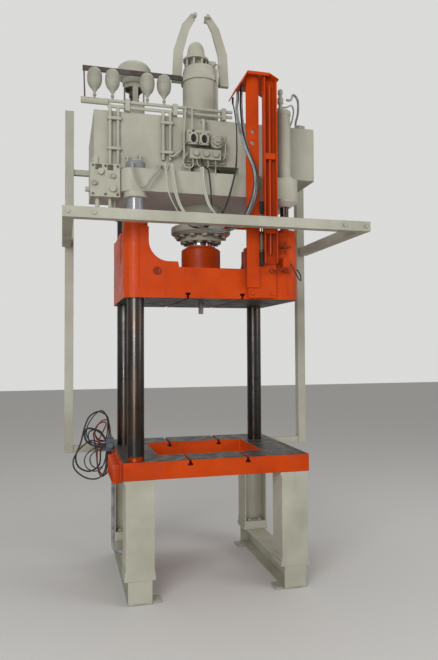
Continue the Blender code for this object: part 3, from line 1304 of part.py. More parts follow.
def build_manifold():
    """The manifold's plate with two blocks, their plugs and a round solenoid on it."""
    back = TANK_FRONT - GAP
    face = back - MANIFOLD_T
    manifold = make_object("manifold", box((MANIFOLD_X[0], face, MANIFOLD_Z[0]),
                                           (MANIFOLD_X[1], back, MANIFOLD_Z[1])), "cream_paint")
    blocks = []
    for x0, x1, depth, z0, z1 in (MAIN_BLOCK, LOWER_BLOCK):
        blocks.append(box((x0, face - depth, z0), (x1, face + 0.001, z1)))
    lower_face = face - LOWER_BLOCK[2]
    for x in (LOWER_BLOCK[0] + 0.040, LOWER_BLOCK[0] + 0.110, LOWER_BLOCK[1] - 0.040):
        blocks.append(shift(lay_along(disc(0.020, -0.016, 0.002, 12), "Y"),
                            (x, lower_face, (LOWER_BLOCK[3] + LOWER_BLOCK[4]) / 2)))
    r = SOLENOID_DIA / 2
    coil = turned([(0.0, -0.002), (r, -0.002), (r, SOLENOID_T - 0.010), (r - 0.010, SOLENOID_T), (r * 0.62, SOLENOID_T),
                   (r * 0.62, SOLENOID_T + 0.012), (r * 0.3, SOLENOID_T + 0.012), (r * 0.3, SOLENOID_T + 0.026),
                   (0.0, SOLENOID_T + 0.026)])
    bmesh.ops.rotate(coil, verts=coil.verts, matrix=Matrix.Rotation(math.pi / 2, 3, "X"))
    blocks.append(shift(coil, (SOLENOID_X, face, SOLENOID_Z)))
    for x, z in PORT_SPOTS:
        plug = lay_along(disc(PORT_DIA / 2, -PORT_T, SINK, SMALL_ROUND), "Y")
        blocks.append(shift(plug, (x, face - MAIN_BLOCK[2], z)))
    weld(manifold, blocks)


def build_filter():
    """A tall canister over the crown's front right corner, with a stack of fittings on its lid."""
    x, y = STOP_XY
    r = FILTER_DIA / 2
    low = CROWN_TOP + GAP
    foot = low + FILTER_FLANGE_H
    profile = [(0.0, low), (FILTER_FLANGE_DIA / 2, low), (FILTER_FLANGE_DIA / 2, foot), (r, foot),
               (r, FILTER_TOP - 0.040), (r + 0.004, FILTER_TOP - 0.038), (r + 0.004, FILTER_TOP - 0.012),
               (r - 0.010, FILTER_TOP), (0.0, FILTER_TOP)]
    canister = make_object("filter", turned(profile), "cream_paint", at=(x, y, 0), smooth=True)
    f = FITTING_DIA / 2
    low = FILTER_TOP - 0.012
    rise = FITTING_TOP - low
    steps = [(1.0, 0.0), (1.0, 0.16), (0.6, 0.20), (0.6, 0.34), (0.95, 0.38), (0.95, 0.60), (0.6, 0.64),
             (0.6, 0.76), (0.8, 0.80), (0.8, 0.94), (0.5, 1.0)]
    stack = [(0.0, low)] + [(f * a, low + rise * b) for a, b in steps] + [(0.0, FITTING_TOP)]
    weld(canister, [shift(turned(stack, 12), (FITTING_X - x, 0, 0))])


def build_services():
    """A valve block on the bed's left side, where a red and a black hose loop round."""
    x = -BED_W / 2 - GAP
    w, d, h = SERVICE_BLOCK
    y, z = SERVICE_YZ
    left = x - w
    block = make_object("service_valve", box((left, y - d / 2, z - h / 2), (x, y + d / 2, z + h / 2)),
                        "worn_steel")
    weld(block, [
        shift(disc(0.014, -0.002, 0.030, 12), (left + w / 2, y - d / 4, z + h / 2)),
        shift(disc(0.018, -0.040, 0.002, BOLT_ROUND), (left + w / 2, y + d / 4, z - h / 2)),
        shift(lay_along(disc(0.014, -0.026, 0.002, 12), "X"), (left, y - d / 4, z)),
        shift(lay_along(disc(0.020, -0.040, 0.002, 12), "Y"), (left + w / 2, y - d / 2, z)),
    ])
    top = (left + w / 2, y + d / 4, z + h / 2 + GAP)
    side = (left - GAP, y + d / 4, z - h / 4)
    route = [(left + dx, y, z + dz) for dx, dz in BLACK_LOOP_ROUTE]
    tube_object("black_loop", [top, (top[0], top[1], top[2] + 2 * BLACK_HOSE), *route,
                               (side[0] - 2 * BLACK_HOSE, side[1], side[2]), side], BLACK_HOSE, "black_rubber")
    low = (left + w / 2, y - d / 4, z - h / 2 - GAP)
    high = (left - GAP, y, z + h / 4)
    route = [(left + dx, y + dy, z + dz) for dx, dy, dz in RED_LOOP_ROUTE]
    tube_object("red_loop", [high, (high[0] - 2.5 * RED_HOSE, high[1], high[2]), *route,
                             (low[0] - RED_HOSE, low[1], low[2] - 13 * RED_HOSE),
                             (low[0], low[1], low[2] - 3.3 * RED_HOSE), low], RED_HOSE, "red_hose")


def build_hoses():
    """Every hose and cable, from one fitting to the other. Their routes are chosen by eye."""
    x, y = STOP_XY
    start = (FITTING_X + FITTING_DIA / 2 * 0.95 + GAP + 0.001, y, FITTING_TOP - 0.067)
    end = (FILTER_LOOP_X, TANK_FRONT + 0.030, TANK_TOP + GAP)
    route = [(x + dx, y + dy, FITTING_TOP + dz) for dx, dy, dz in FILTER_ROUTE]
    tube_object("filter_hose", [start, (start[0] + 2.5 * FILTER_HOSE, y, start[2]), *route,
                                (end[0], end[1], end[2] + 3 * FILTER_HOSE), end], FILTER_HOSE, "grey_hose")
    y = -CROWN_D / 2 + CROWN_LIP - GAP
    z = CROWN_TOP + UNION / 2
    x0, x1 = UNION_X[:2]
    route = [(x0 + (x1 - x0) * share, -CROWN_D / 2 + out, CROWN_TOP + up) for share, out, up in LOOP_ROUTE]
    tube_object("loop_hose", [(x0, y, z), (x0, y - UNION_OUT, z), *route, (x1, y - UNION_OUT, z), (x1, y, z)],
                LOOP_DIA, "grey_hose")
    cables = (("cable_a", UNION_X[2], HOOD_END_X[0], HOOD_END_Y[0], CABLE_A_ROUTE, CABLE_DIA),
              ("cable_b", UNION_X[3], HOOD_END_X[1], HOOD_END_Y[1], CABLE_B_ROUTE, HOSE_DIA),
              ("cable_c", UNION_X[4], HOOD_END_X[2], HOOD_END_Y[2], CABLE_C_ROUTE, HOSE_DIA))
    for name, x0, end_x, end_y, table, diameter in cables:
        x1 = HOOD_X[0]
        route = [(x0 + (x1 - x0) * share, -CROWN_D / 2 + out, CROWN_TOP + up) for share, out, up in table]
        end = (x1 + end_x, HOOD_BACK + end_y, under_hood(x1 + end_x - diameter / 2) - GAP)
        below = (end[0], end[1], end[2] - HOOD_STRAIGHT)
        tube_object(name, [(x0, y, z), (x0, y - UNION_OUT, z), *route, below, end], diameter, "grey_hose")


def main():
    clear_scene()
    build_runners()
    build_legs()
    build_bed()
    build_columns()
    build_crown()
    build_cylinder()
    build_yoke()
    build_top_rail()
    build_tank()
    build_guard()
    build_pipes()
    build_accumulators()
    build_valves()
    build_filter()
    build_services()
    build_hoses()
    pin = build_knockout_pin()
    coupling = build_pump_set()
    case, switch_lever, switch_pivot = build_slide_switch()
    latch, latch_pivot = build_latch()
    moving = [build_slide(), case] + build_slide_bushes() + build_ram() + build_mast()
    carry(empty("slide_axis", (AXIS_X, 0, SLIDE_BOTTOM)), moving)
    carry(empty("knockout_axis", (AXIS_X, 0, SLIDE_BOTTOM)), [pin])
    carry(empty("slide_switch_axis", switch_pivot), [switch_lever])
    carry(empty("latch_axis", latch_pivot), [latch])
    carry(empty("coupling_axis", (PUMP_X, PUMP_Y, WINDOW_Z[0])), [coupling])


main()
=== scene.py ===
# %% [markdown]
# # Dressing an upright hydraulic press
# The machine stands on two floor beams and four legs. A slotted bed carries three columns, an orange slide
# runs on them, and the crown above holds the cylinder, the oil tank and the pipework. The solids come from
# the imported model, so this lesson gives them paint, steel, rubber and small fittings, and lights them.

# %% Load the solids and note their box
import json
import math

import bpy
from mathutils import Matrix, Vector

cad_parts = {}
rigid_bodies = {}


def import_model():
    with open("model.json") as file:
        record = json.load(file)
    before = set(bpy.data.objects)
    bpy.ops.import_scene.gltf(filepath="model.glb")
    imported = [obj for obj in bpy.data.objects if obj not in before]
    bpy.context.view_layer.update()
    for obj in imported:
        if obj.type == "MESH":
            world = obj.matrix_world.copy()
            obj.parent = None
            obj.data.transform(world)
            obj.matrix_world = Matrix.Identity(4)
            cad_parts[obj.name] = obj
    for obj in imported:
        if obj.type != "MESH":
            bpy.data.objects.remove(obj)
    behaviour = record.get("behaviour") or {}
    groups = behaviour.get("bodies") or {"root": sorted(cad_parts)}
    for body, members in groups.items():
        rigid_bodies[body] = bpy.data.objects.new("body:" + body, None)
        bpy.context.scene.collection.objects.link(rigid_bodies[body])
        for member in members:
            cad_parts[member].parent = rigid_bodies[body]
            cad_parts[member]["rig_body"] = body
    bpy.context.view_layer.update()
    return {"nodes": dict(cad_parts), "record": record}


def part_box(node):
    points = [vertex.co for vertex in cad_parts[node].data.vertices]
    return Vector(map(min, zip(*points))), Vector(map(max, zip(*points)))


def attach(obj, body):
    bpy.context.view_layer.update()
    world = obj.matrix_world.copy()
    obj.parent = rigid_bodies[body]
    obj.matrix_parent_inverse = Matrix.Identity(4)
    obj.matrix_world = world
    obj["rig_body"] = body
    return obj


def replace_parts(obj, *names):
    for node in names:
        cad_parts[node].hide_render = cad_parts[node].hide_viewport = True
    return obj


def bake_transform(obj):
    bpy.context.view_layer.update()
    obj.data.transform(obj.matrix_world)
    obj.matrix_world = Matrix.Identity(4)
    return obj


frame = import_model()
nodes = frame["nodes"]

# %% [markdown]
# ## The camera
# The picture was taken from a little left of the machine and from about eye height. The camera's axes are
# worked out from three angles, and its lens from the picture's height. The clean way is a matrix: its columns
# are the right, up and backward directions.

# %% Camera
CAMERA_PLACE = Vector((-0.974, -4.128, 1.566))
CAMERA_YAW = math.radians(14.6656)
CAMERA_PITCH = math.radians(1.7905)
CAMERA_ROLL = math.radians(-0.2787)
SENSOR = 36.0
PICTURE_HEIGHT = 660
FOCAL_PIXELS = 599.43
CAMERA_LENS = SENSOR * FOCAL_PIXELS / PICTURE_HEIGHT


def camera_axes(yaw, pitch, roll):
    """Right, up and forward directions of a camera turned to the right of +Y, tilted up and rolled."""
    forward = Vector((math.sin(yaw) * math.cos(pitch), math.cos(yaw) * math.cos(pitch), math.sin(pitch)))
    right = Vector((math.cos(yaw), -math.sin(yaw), 0.0))
    up = right.cross(forward)
    turned_right = right * math.cos(roll) + up * math.sin(roll)
    turned_up = up * math.cos(roll) - right * math.sin(roll)
    return turned_right, turned_up, forward


axes = camera_axes(CAMERA_YAW, CAMERA_PITCH, CAMERA_ROLL)
lens = bpy.data.cameras.new("camera")
lens.lens = CAMERA_LENS
lens.sensor_width = SENSOR
camera = bpy.data.objects.new("camera", lens)
camera.matrix_world = Matrix((
    (axes[0].x, axes[1].x, -axes[2].x, CAMERA_PLACE.x),
    (axes[0].y, axes[1].y, -axes[2].y, CAMERA_PLACE.y),
    (axes[0].z, axes[1].z, -axes[2].z, CAMERA_PLACE.z),
    (0.0, 0.0, 0.0, 1.0),
))
bpy.context.scene.collection.objects.link(camera)
bpy.context.scene.camera = camera
print("camera at", tuple(round(v, 3) for v in CAMERA_PLACE))

# %% [markdown]
# ## Nodes for the finishes
# Every finish is a small network on Object coordinates. They are the machine's own metres here, because each
# solid sits at the origin with its place in its mesh. So a height in metres can also decide where paint ends
# and bare steel begins. The networks could be wired node by node, but these helpers keep each finish short.

# %% Helpers for nodes
def add_node(tree, kind, values=None, **settings):
    """One node, with settings as attributes and values on its sockets."""
    made = tree.nodes.new(kind)
    for key, value in settings.items():
        setattr(made, key, value)
    for key, value in (values or {}).items():
        made.inputs[key].default_value = value
    return made


def plug(tree, socket, value):
    """Links an output to a socket, or sets the socket's own value."""
    if isinstance(value, bpy.types.NodeSocket):
        tree.links.new(value, socket)
    else:
        socket.default_value = value


def mottle(tree, scale, detail=4.0, stretch=(1.0, 1.0, 1.0), roughness=0.55):
    """A cloudy pattern in metres, longer or shorter along each axis."""
    place = add_node(tree, "ShaderNodeTexCoord")
    mapping = add_node(tree, "ShaderNodeMapping", {"Scale": stretch})
    noise = add_node(tree, "ShaderNodeTexNoise", {"Scale": scale, "Detail": detail, "Roughness": roughness})
    tree.links.new(place.outputs["Object"], mapping.inputs["Vector"])
    tree.links.new(mapping.outputs["Vector"], noise.inputs["Vector"])
    return noise.outputs["Fac"]


def spread(tree, value, low, high, to_low=0.0, to_high=1.0):
    """Stretches the part of a value between low and high over a new range."""
    limits = {"From Min": low, "From Max": high, "To Min": to_low, "To Max": to_high}
    ranged = add_node(tree, "ShaderNodeMapRange", limits)
    plug(tree, ranged.inputs["Value"], value)
    return ranged.outputs["Result"]


def blend_colours(tree, share, first, second, way="MIX"):
    """A mix of two colours, each a socket or four numbers."""
    mixer = add_node(tree, "ShaderNodeMix", data_type="RGBA", blend_type=way)
    plug(tree, mixer.inputs["Factor"], share)
    plug(tree, mixer.inputs["A"], first)
    plug(tree, mixer.inputs["B"], second)
    return mixer.outputs["Result"]


def arithmetic(tree, operation, first, second=0.0):
    """One sum on two values."""
    made = add_node(tree, "ShaderNodeMath", operation=operation)
    plug(tree, made.inputs[0], first)
    plug(tree, made.inputs[1], second)
    return made.outputs[0]


print("helpers for nodes ready")

# %% [markdown]
# ## Places, edges and corners
# Wear sits on edges, grime and painted shade sit in corners, and borders between two coats are ragged. Such
# masks could be painted by hand, but they would have to be painted again after each change of a solid. The
# shader can tell by itself where a point is, how sharp the edge is and what stands close by.

# %% Helpers for masks and colours
def place_parts(tree):
    """The X, Y and Z of the point on the machine, in metres."""
    place = add_node(tree, "ShaderNodeTexCoord")
    parts = add_node(tree, "ShaderNodeSeparateXYZ")
    tree.links.new(place.outputs["Object"], parts.inputs[0])
    return parts.outputs


def edge_mask(tree, radius):
    """High on edges and in corners, where the rounded direction leaves the face's own."""
    rounded = add_node(tree, "ShaderNodeBevel", {"Radius": radius}, samples=4)
    surface = add_node(tree, "ShaderNodeNewGeometry")
    dot = add_node(tree, "ShaderNodeVectorMath", operation="DOT_PRODUCT")
    tree.links.new(rounded.outputs["Normal"], dot.inputs[0])
    tree.links.new(surface.outputs["Normal"], dot.inputs[1])
    return spread(tree, dot.outputs["Value"], 0.985, 0.80)


def corner_grime_and_shade(tree, distance):
    """High where other surfaces are near, as in corners; it lays grime and painted shade there."""
    near = add_node(tree, "ShaderNodeAmbientOcclusion", {"Distance": distance}, samples=4)
    return spread(tree, near.outputs["AO"], 0.75, 0.25)


def start_finish(name, roughness, metallic=0.0):
    """A new material with its shader's plain numbers set."""
    finish = bpy.data.materials.new(name)
    finish.use_nodes = True
    shader = finish.node_tree.nodes["Principled BSDF"]
    shader.inputs["Roughness"].default_value = roughness
    shader.inputs["Metallic"].default_value = metallic
    return finish, finish.node_tree, shader


def ragged(tree, value, scale, reach):
    """A value moved to and fro by a cloudy pattern, so that a border drawn with it isn't straight."""
    shift = arithmetic(tree, "MULTIPLY_ADD", mottle(tree, scale), reach)
    shift.node.inputs[2].default_value = -reach / 2
    return arithmetic(tree, "ADD", value, shift)


def bump(tree, shader, value, strength, distance=0.001):
    """Roughens the surface by a value, without moving it."""
    raised = add_node(tree, "ShaderNodeBump", {"Strength": strength, "Distance": distance})
    tree.links.new(value, raised.inputs["Height"])
    tree.links.new(raised.outputs["Normal"], shader.inputs["Normal"])


def srgb(red, green, blue):
    """A colour read from a screen, as the linear colour that shaders use."""
    parts = []
    for value in (red, green, blue):
        v = value / 255
        parts.append(v / 12.92 if v <= 0.04045 else ((v + 0.055) / 1.055) ** 2.4)
    return (*parts, 1.0)


print("orange on a screen and in a shader:", (199, 67, 0), [round(v, 3) for v in srgb(199, 67, 0)[:3]])

# %% [markdown]
# ## Orange and cream paint
# Both coats are brushed enamel over rough castings: satin, slightly uneven, darker in the corners and worn at
# the edges. One flat colour would look like plastic, and a picture of paint would have to be fitted to every
# face. Cloudy patterns in metres fit by themselves, so one function layers them for both coats: the colour
# drifts a little, grime and painted shade darken the corners where faces meet, and the edges show what lies
# under the paint.

# %% Painted finishes
ORANGE = srgb(199, 67, 0)
ORANGE_DEEP = srgb(172, 53, 0)
CREAM = srgb(179, 178, 164)
CREAM_DULL = srgb(159, 157, 141)
GRIME = srgb(84, 76, 64)
CAST_DARK = srgb(44, 38, 33)
ORANGE_PAINT = (ORANGE, ORANGE_DEEP, CAST_DARK, 0.75, 0.42)
CREAM_PAINT = (CREAM, CREAM_DULL, GRIME, 0.65, 0.50)
PAINT_SHINE = 0.14


def corner_grime_and_shade_colour(colour):
    """The colour for grime and painted shade in corners: grime over the coat, with some of the coat's colour
    let through.
    """
    return (*[a * 0.35 + b * 0.25 for a, b in zip(GRIME[:3], colour[:3])], 1.0)


def painted(name, colour, dull, under, wear, roughness):
    """Enamel: colour drift, corner grime with painted shade, worn edges and a faint orange-peel surface."""
    finish, tree, shader = start_finish(name, roughness)
    shader.inputs["Specular IOR Level"].default_value = PAINT_SHINE
    drift = spread(tree, mottle(tree, 3.2, 6.0), 0.35, 0.70)
    coat = blend_colours(tree, drift, colour, dull)
    streaks = spread(tree, mottle(tree, 9.0, 4.0, (1.0, 1.0, 0.12)), 0.58, 0.82, 0.0, 0.18)
    coat = blend_colours(tree, streaks, coat, GRIME)
    # Corners darken by ambient occlusion: grime, and painted shade where less light reaches.
    grime_and_shade_share = arithmetic(tree, "MULTIPLY", corner_grime_and_shade(tree, 0.05), 0.50)
    coat = blend_colours(tree, grime_and_shade_share, coat, corner_grime_and_shade_colour(colour))
    chips = spread(tree, mottle(tree, 26.0, 5.0), 0.42, 0.62)
    chips = arithmetic(tree, "MULTIPLY", edge_mask(tree, 0.004), chips)
    chips = arithmetic(tree, "MULTIPLY", chips, wear)
    coat = blend_colours(tree, chips, coat, under)
    gloss = spread(tree, mottle(tree, 14.0, 4.0), 0.3, 0.7, roughness - 0.08, roughness + 0.14)
    tree.links.new(gloss, shader.inputs["Roughness"])
    bump(tree, shader, mottle(tree, 90.0, 3.0), 0.12)
    tree.links.new(coat, shader.inputs["Base Color"])
    return finish, tree, shader, coat


def bare_above(tree, coat, height, bare, over=0.0008, side=1):
    """The coat, with bare metal on the far side of a height."""
    z = place_parts(tree)[2]
    low, high = (height - over, height) if side > 0 else (height + over, height)
    share = spread(tree, z, low, high)
    return blend_colours(tree, share, coat, bare)


orange_coat = painted("orange_coat", *ORANGE_PAINT)[0]
cream_coat = painted("cream_coat", *CREAM_PAINT)[0]
print("painted finishes ready")

# %% [markdown]
# ## The bed's and slide's machined faces
# Dies are clamped on the bed's top and the slide's underside, so those faces are bare, dark with oil and
# scratched. The side faces are painted. Each face could get a material of its own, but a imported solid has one
# slot. So height decides: above the bed's edge or below the slide's, the coat gives way to steel.

# %% Bed and slide finishes
OILED = srgb(66, 58, 48)
STAINED = srgb(34, 30, 26)
SCRATCHED = srgb(112, 104, 92)
SLOT_SHADE_REACH = 0.030
SLOT_SHADE = srgb(26, 21, 17)


def machined(tree):
    """Oily dark steel with cloudy stains and fine scratches."""
    stains = spread(tree, mottle(tree, 7.0, 6.0), 0.35, 0.68)
    steel = blend_colours(tree, stains, OILED, STAINED)
    scratches = spread(tree, mottle(tree, 40.0, 2.0, (0.25, 3.0, 1.0)), 0.62, 0.72, 0.0, 0.45)
    return blend_colours(tree, scratches, steel, SCRATCHED)


def two_faced(name, height, side):
    """Orange paint with machined steel past one height, and painted shade darkening the slots."""
    finish, tree, shader, coat = painted(name, *ORANGE_PAINT)
    coat = bare_above(tree, coat, height, machined(tree), side=side)
    # Painted shade: slots and tight recesses are darkened by ambient occlusion.
    near = add_node(tree, "ShaderNodeAmbientOcclusion", {"Distance": SLOT_SHADE_REACH}, samples=6)
    slot_shade_share = spread(tree, near.outputs["AO"], 0.42, 0.22)
    tree.links.new(blend_colours(tree, slot_shade_share, coat, SLOT_SHADE), shader.inputs["Base Color"])
    return finish


BED_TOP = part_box("bed")[1][2]
SLIDE_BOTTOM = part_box("slide")[0][2]
bed_finish = two_faced("bed_paint_and_steel", BED_TOP - 0.0004, 1)
slide_finish = two_faced("slide_paint_and_steel", SLIDE_BOTTOM + 0.0008, -1)
print("bed top", round(BED_TOP, 3), "slide bottom", round(SLIDE_BOTTOM, 3))

# %% [markdown]
# ## Steel and bronze
# The columns are turned bars under a film of old oil: dark, with a long bright highlight and brown streaks.
# The ram is polished. A plain metal shader would be too clean, so patterns stretched along the bar's height
# draw the streaks, and others squeezed to thin bands draw the turning marks. Grey primer at the top of the
# front left column and overspray at its foot are told apart by height.

# %% Metals
OIL_BROWN = srgb(84, 58, 42)


def oily_steel(name, light, dark, roughness, metallic):
    """Bar stock with streaks along its height."""
    finish, tree, shader = start_finish(name, roughness, metallic)
    streaks = spread(tree, mottle(tree, 14.0, 5.0, (1.0, 1.0, 0.14)), 0.30, 0.72)
    steel = blend_colours(tree, streaks, light, dark)
    stains = spread(tree, mottle(tree, 5.0, 6.0, (1.0, 1.0, 0.6)), 0.46, 0.74, 0.0, 0.70)
    steel = blend_colours(tree, stains, steel, OIL_BROWN)
    rings = spread(tree, mottle(tree, 30.0, 3.0, (0.05, 0.05, 1.0)), 0.55, 0.72, 0.0, 0.35)
    steel = blend_colours(tree, rings, steel, dark)
    tree.links.new(steel, shader.inputs["Base Color"])
    cloud = mottle(tree, 11.0, 4.0, (1.0, 1.0, 0.3))
    gloss = spread(tree, cloud, 0.3, 0.7, roughness - 0.10, roughness + 0.16)
    tree.links.new(gloss, shader.inputs["Roughness"])
    bump(tree, shader, mottle(tree, 60.0, 3.0, (1.0, 1.0, 0.2)), 0.06)
    return finish, tree, shader, steel


COLUMN_METALLIC = 0.85
COLUMN_STEEL = (srgb(62, 59, 56), srgb(27, 26, 25), 0.27, COLUMN_METALLIC)
column_steel = oily_steel("column_steel", *COLUMN_STEEL)[0]
dark_steel = oily_steel("dark_steel", srgb(92, 88, 84), srgb(50, 46, 43), 0.42, 0.70)[0]
ram_steel = oily_steel("ram_steel", srgb(190, 188, 184), srgb(140, 136, 130), 0.20, 1.0)[0]
bronze = oily_steel("bronze", srgb(168, 126, 66), srgb(112, 80, 42), 0.34, 1.0)[0]

PRIMED_FROM = 2.440
PRIMER_EDGE = 0.004
PRIMER = srgb(131, 132, 134)
SPLASH_FULL = 0.018
SPLASH_END = 0.030


def base_splash(name, height):
    """Column steel with overspray from the bed's paint at its foot, and grey primer under the crown."""
    finish, tree, shader, steel = oily_steel(name, *COLUMN_STEEL)
    z = place_parts(tree)[2]
    share = spread(tree, ragged(tree, z, 30.0, 0.05), height + SPLASH_END, height + SPLASH_FULL)
    colour = blend_colours(tree, share, steel, ORANGE_DEEP)
    primed = spread(tree, z, PRIMED_FROM - PRIMER_EDGE, PRIMED_FROM + PRIMER_EDGE)
    tree.links.new(blend_colours(tree, primed, colour, PRIMER), shader.inputs["Base Color"])
    tree.links.new(spread(tree, primed, 0.0, 1.0, COLUMN_METALLIC, 0.0), shader.inputs["Metallic"])
    return finish


front_column = base_splash("front_column_steel", BED_TOP)
print("metals ready")

# %% [markdown]
# ## Rubber and plastic
# Hoses and cables have soft covers that hardly shine. Ribs and weave could be modelled, but at a centimetre
# across they would never be seen. Two close colours in cloudy patches and a fine bump are enough. Some hoses
# were painted over together with the crown, so their cover turns cream to the left of a ragged border.

# %% Rubber and plastic
RUBBER_SHINE = 0.22
HOSE_GREY = (srgb(150, 152, 152), srgb(108, 110, 112), 0.48)


def cable_cover(name, colour, dull, roughness):
    """The outside of a hose or cable, with faint rubbed patches."""
    finish, tree, shader = start_finish(name, roughness)
    shader.inputs["Specular IOR Level"].default_value = RUBBER_SHINE
    patches = spread(tree, mottle(tree, 18.0, 4.0), 0.40, 0.65)
    cover = blend_colours(tree, patches, colour, dull)
    tree.links.new(cover, shader.inputs["Base Color"])
    bump(tree, shader, mottle(tree, 160.0, 2.0), 0.18)
    return finish, tree, shader, cover


grey_cover = cable_cover("grey_cover", *HOSE_GREY)[0]
black_cover = cable_cover("black_cover", srgb(30, 29, 30), srgb(52, 50, 50), 0.50)[0]
red_cover = cable_cover("red_cover", srgb(118, 32, 26), srgb(84, 24, 22), 0.50)[0]
black_plastic = cable_cover("black_plastic", srgb(24, 24, 25), srgb(42, 41, 41), 0.38)[0]


def part_painted(name, edge_x):
    """A hose that was painted over with the crown at its left end, and is grey further on."""
    finish, tree, shader, cover = cable_cover(name, *HOSE_GREY)
    share = spread(tree, ragged(tree, place_parts(tree)[0], 24.0, 0.06), edge_x + 0.02, edge_x - 0.02)
    tree.links.new(blend_colours(tree, share, cover, CREAM), shader.inputs["Base Color"])
    return finish


print("covers ready")

# %% [markdown]
# ## The crown's finish
# The crown is a cream casting. Its downward faces get a lighter colour, painted light on the underside, and
# the nut on the front left column is bare grey steel. The nut could be a solid of its own, but it is part of
# the imported crown. So places are told apart by which way they face, by height, and by the distance from the
# column's middle.

# %% Crown finish
low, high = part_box("column_front_left")
COLUMN_LEFT = (low + high) / 2
CROWN_BOTTOM = 2.556
CROWN_TOP = 2.700
UNDERSIDE_PAINTED_LIGHT = srgb(198, 193, 186)
NUT_GREY = srgb(127, 128, 130)
NUT_REACH = 0.088


def crown_paint():
    """Cream paint, painted light on the underside and a grey nut on the front left column."""
    finish, tree, shader, coat = painted("crown_paint", *CREAM_PAINT)
    parts = place_parts(tree)
    facing = add_node(tree, "ShaderNodeSeparateXYZ")
    tree.links.new(add_node(tree, "ShaderNodeNewGeometry").outputs["Normal"], facing.inputs[0])
    # Painted light: downward faces at the crown's bottom get a lighter colour than the cream above.
    below = arithmetic(tree, "MULTIPLY", spread(tree, facing.outputs["Z"], -0.4, -0.6),
                       spread(tree, parts[2], CROWN_BOTTOM + 0.0015, CROWN_BOTTOM + 0.0005))
    coat = blend_colours(tree, below, coat, UNDERSIDE_PAINTED_LIGHT)
    across = arithmetic(tree, "SUBTRACT", parts[0], COLUMN_LEFT.x)
    along = arithmetic(tree, "SUBTRACT", parts[1], COLUMN_LEFT.y)
    away = arithmetic(tree, "SQRT", arithmetic(tree, "ADD", arithmetic(tree, "MULTIPLY", across, across),
                                               arithmetic(tree, "MULTIPLY", along, along)))
    on_nut = arithmetic(tree, "MULTIPLY", spread(tree, away, NUT_REACH + 0.002, NUT_REACH),
                        spread(tree, parts[2], CROWN_TOP + 0.0002, CROWN_TOP + 0.0012))
    tree.links.new(blend_colours(tree, on_nut, coat, NUT_GREY), shader.inputs["Base Color"])
    return finish


crown_finish = crown_paint()
print("nut round", [round(v, 3) for v in COLUMN_LEFT])

# %% [markdown]
# ## Finishes of small groups
# Some pieces have a tone of their own: the bulbs are greyer than the tank, the levers are worn, and the
# service block is slate grey. Each could have a network of its own, but the two functions for paint and for
# covers make them all, with other colours.

# %% Finishes of small groups
bulb_coat = painted("bulb_coat", srgb(160, 159, 146), srgb(138, 137, 124), GRIME, 0.4, 0.46)[0]
worn_orange = painted("worn_orange", srgb(150, 48, 8), srgb(96, 36, 14), CAST_DARK, 0.9, 0.45)[0]
dark_grey = cable_cover("dark_grey_cover", srgb(66, 70, 76), srgb(46, 49, 54), 0.46)[0]
brown_cover = cable_cover("brown_cover", srgb(66, 48, 40), srgb(44, 34, 30), 0.50)[0]
tan_cover = cable_cover("tan_cover", srgb(128, 62, 48), srgb(92, 48, 38), 0.50)[0]
valve_grey = painted("valve_grey", srgb(96, 102, 112), srgb(72, 76, 82), GRIME, 0.5, 0.45)[0]
# A dark olive used as painted shade for the side valve's recesses.
olive_painted_shade = cable_cover("olive_painted_shade", srgb(96, 88, 62), srgb(70, 64, 46), 0.6)[0]
green_cap = cable_cover("green_cap", srgb(44, 84, 52), srgb(30, 62, 38), 0.42)[0]
print("finishes:", len(bpy.data.materials))

# %% [markdown]
# ## Every solid gets its finish
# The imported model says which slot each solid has. A material could be named for each of them by hand. Two
# small tables, one by name and one by slot, are shorter, and no solid is forgotten.

# %% Give every solid its finish
OWN_FINISH = {"bed": bed_finish, "slide": slide_finish, "crown": crown_finish,
              "column_front_left": front_column, "column_back_left": column_steel,
              "column_back_right": column_steel, "stop_rod": column_steel, "latch": worn_orange,
              "slide_switch_lever": worn_orange, "service_valve": valve_grey,
              "accumulator_1": bulb_coat, "accumulator_2": bulb_coat,
              "accumulator_3": bulb_coat, "accumulator_4": bulb_coat}
GROUP_FINISH = {"orange_paint": orange_coat, "cream_paint": cream_coat, "worn_steel": dark_steel,
                "bright_steel": ram_steel, "bronze": bronze, "grey_hose": grey_cover,
                "black_rubber": black_cover, "red_hose": red_cover}
slot_of = {entry["node"]: entry["material_slot"] for entry in frame["record"]["subparts"]}
for name, thing in nodes.items():
    chosen = OWN_FINISH.get(name, GROUP_FINISH[slot_of[name]])
    if not thing.data.materials:
        thing.data.materials.append(chosen)
    for place in thing.material_slots:
        place.material = chosen
print("finished solids:", len(slot_of))

# %% [markdown]
# ## Softer edges on the solids
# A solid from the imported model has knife-sharp edges and flat facets. Castings and plates never do. The solid
# itself mustn't change, so a copy is merged, its flat triangles are joined, its edges get a narrow bevel and
# its round faces are shaded smooth. The copy then stands for the solid, which stays below for the physics.

# %% Helpers for pieces
def deselect():
    """Nothing stays selected, so the next operator acts on its own piece alone."""
    if bpy.context.object and bpy.context.object.mode != "OBJECT":
        bpy.ops.object.mode_set(mode="OBJECT")
    bpy.ops.object.select_all(action="DESELECT")


def take(thing):
    """Makes one object the only one selected, and the active one."""
    deselect()
    thing.select_set(True)
    bpy.context.view_layer.objects.active = thing
    return thing


def pick_faces(thing, wanted):
    """Edit mode, with only the wanted faces of the active piece selected."""
    bpy.ops.object.mode_set(mode="EDIT")
    bpy.ops.mesh.select_mode(type="FACE")
    bpy.ops.mesh.select_all(action="DESELECT")
    bpy.ops.object.mode_set(mode="OBJECT")
    for face in thing.data.polygons:
        face.select = wanted(face)
    bpy.ops.object.mode_set(mode="EDIT")


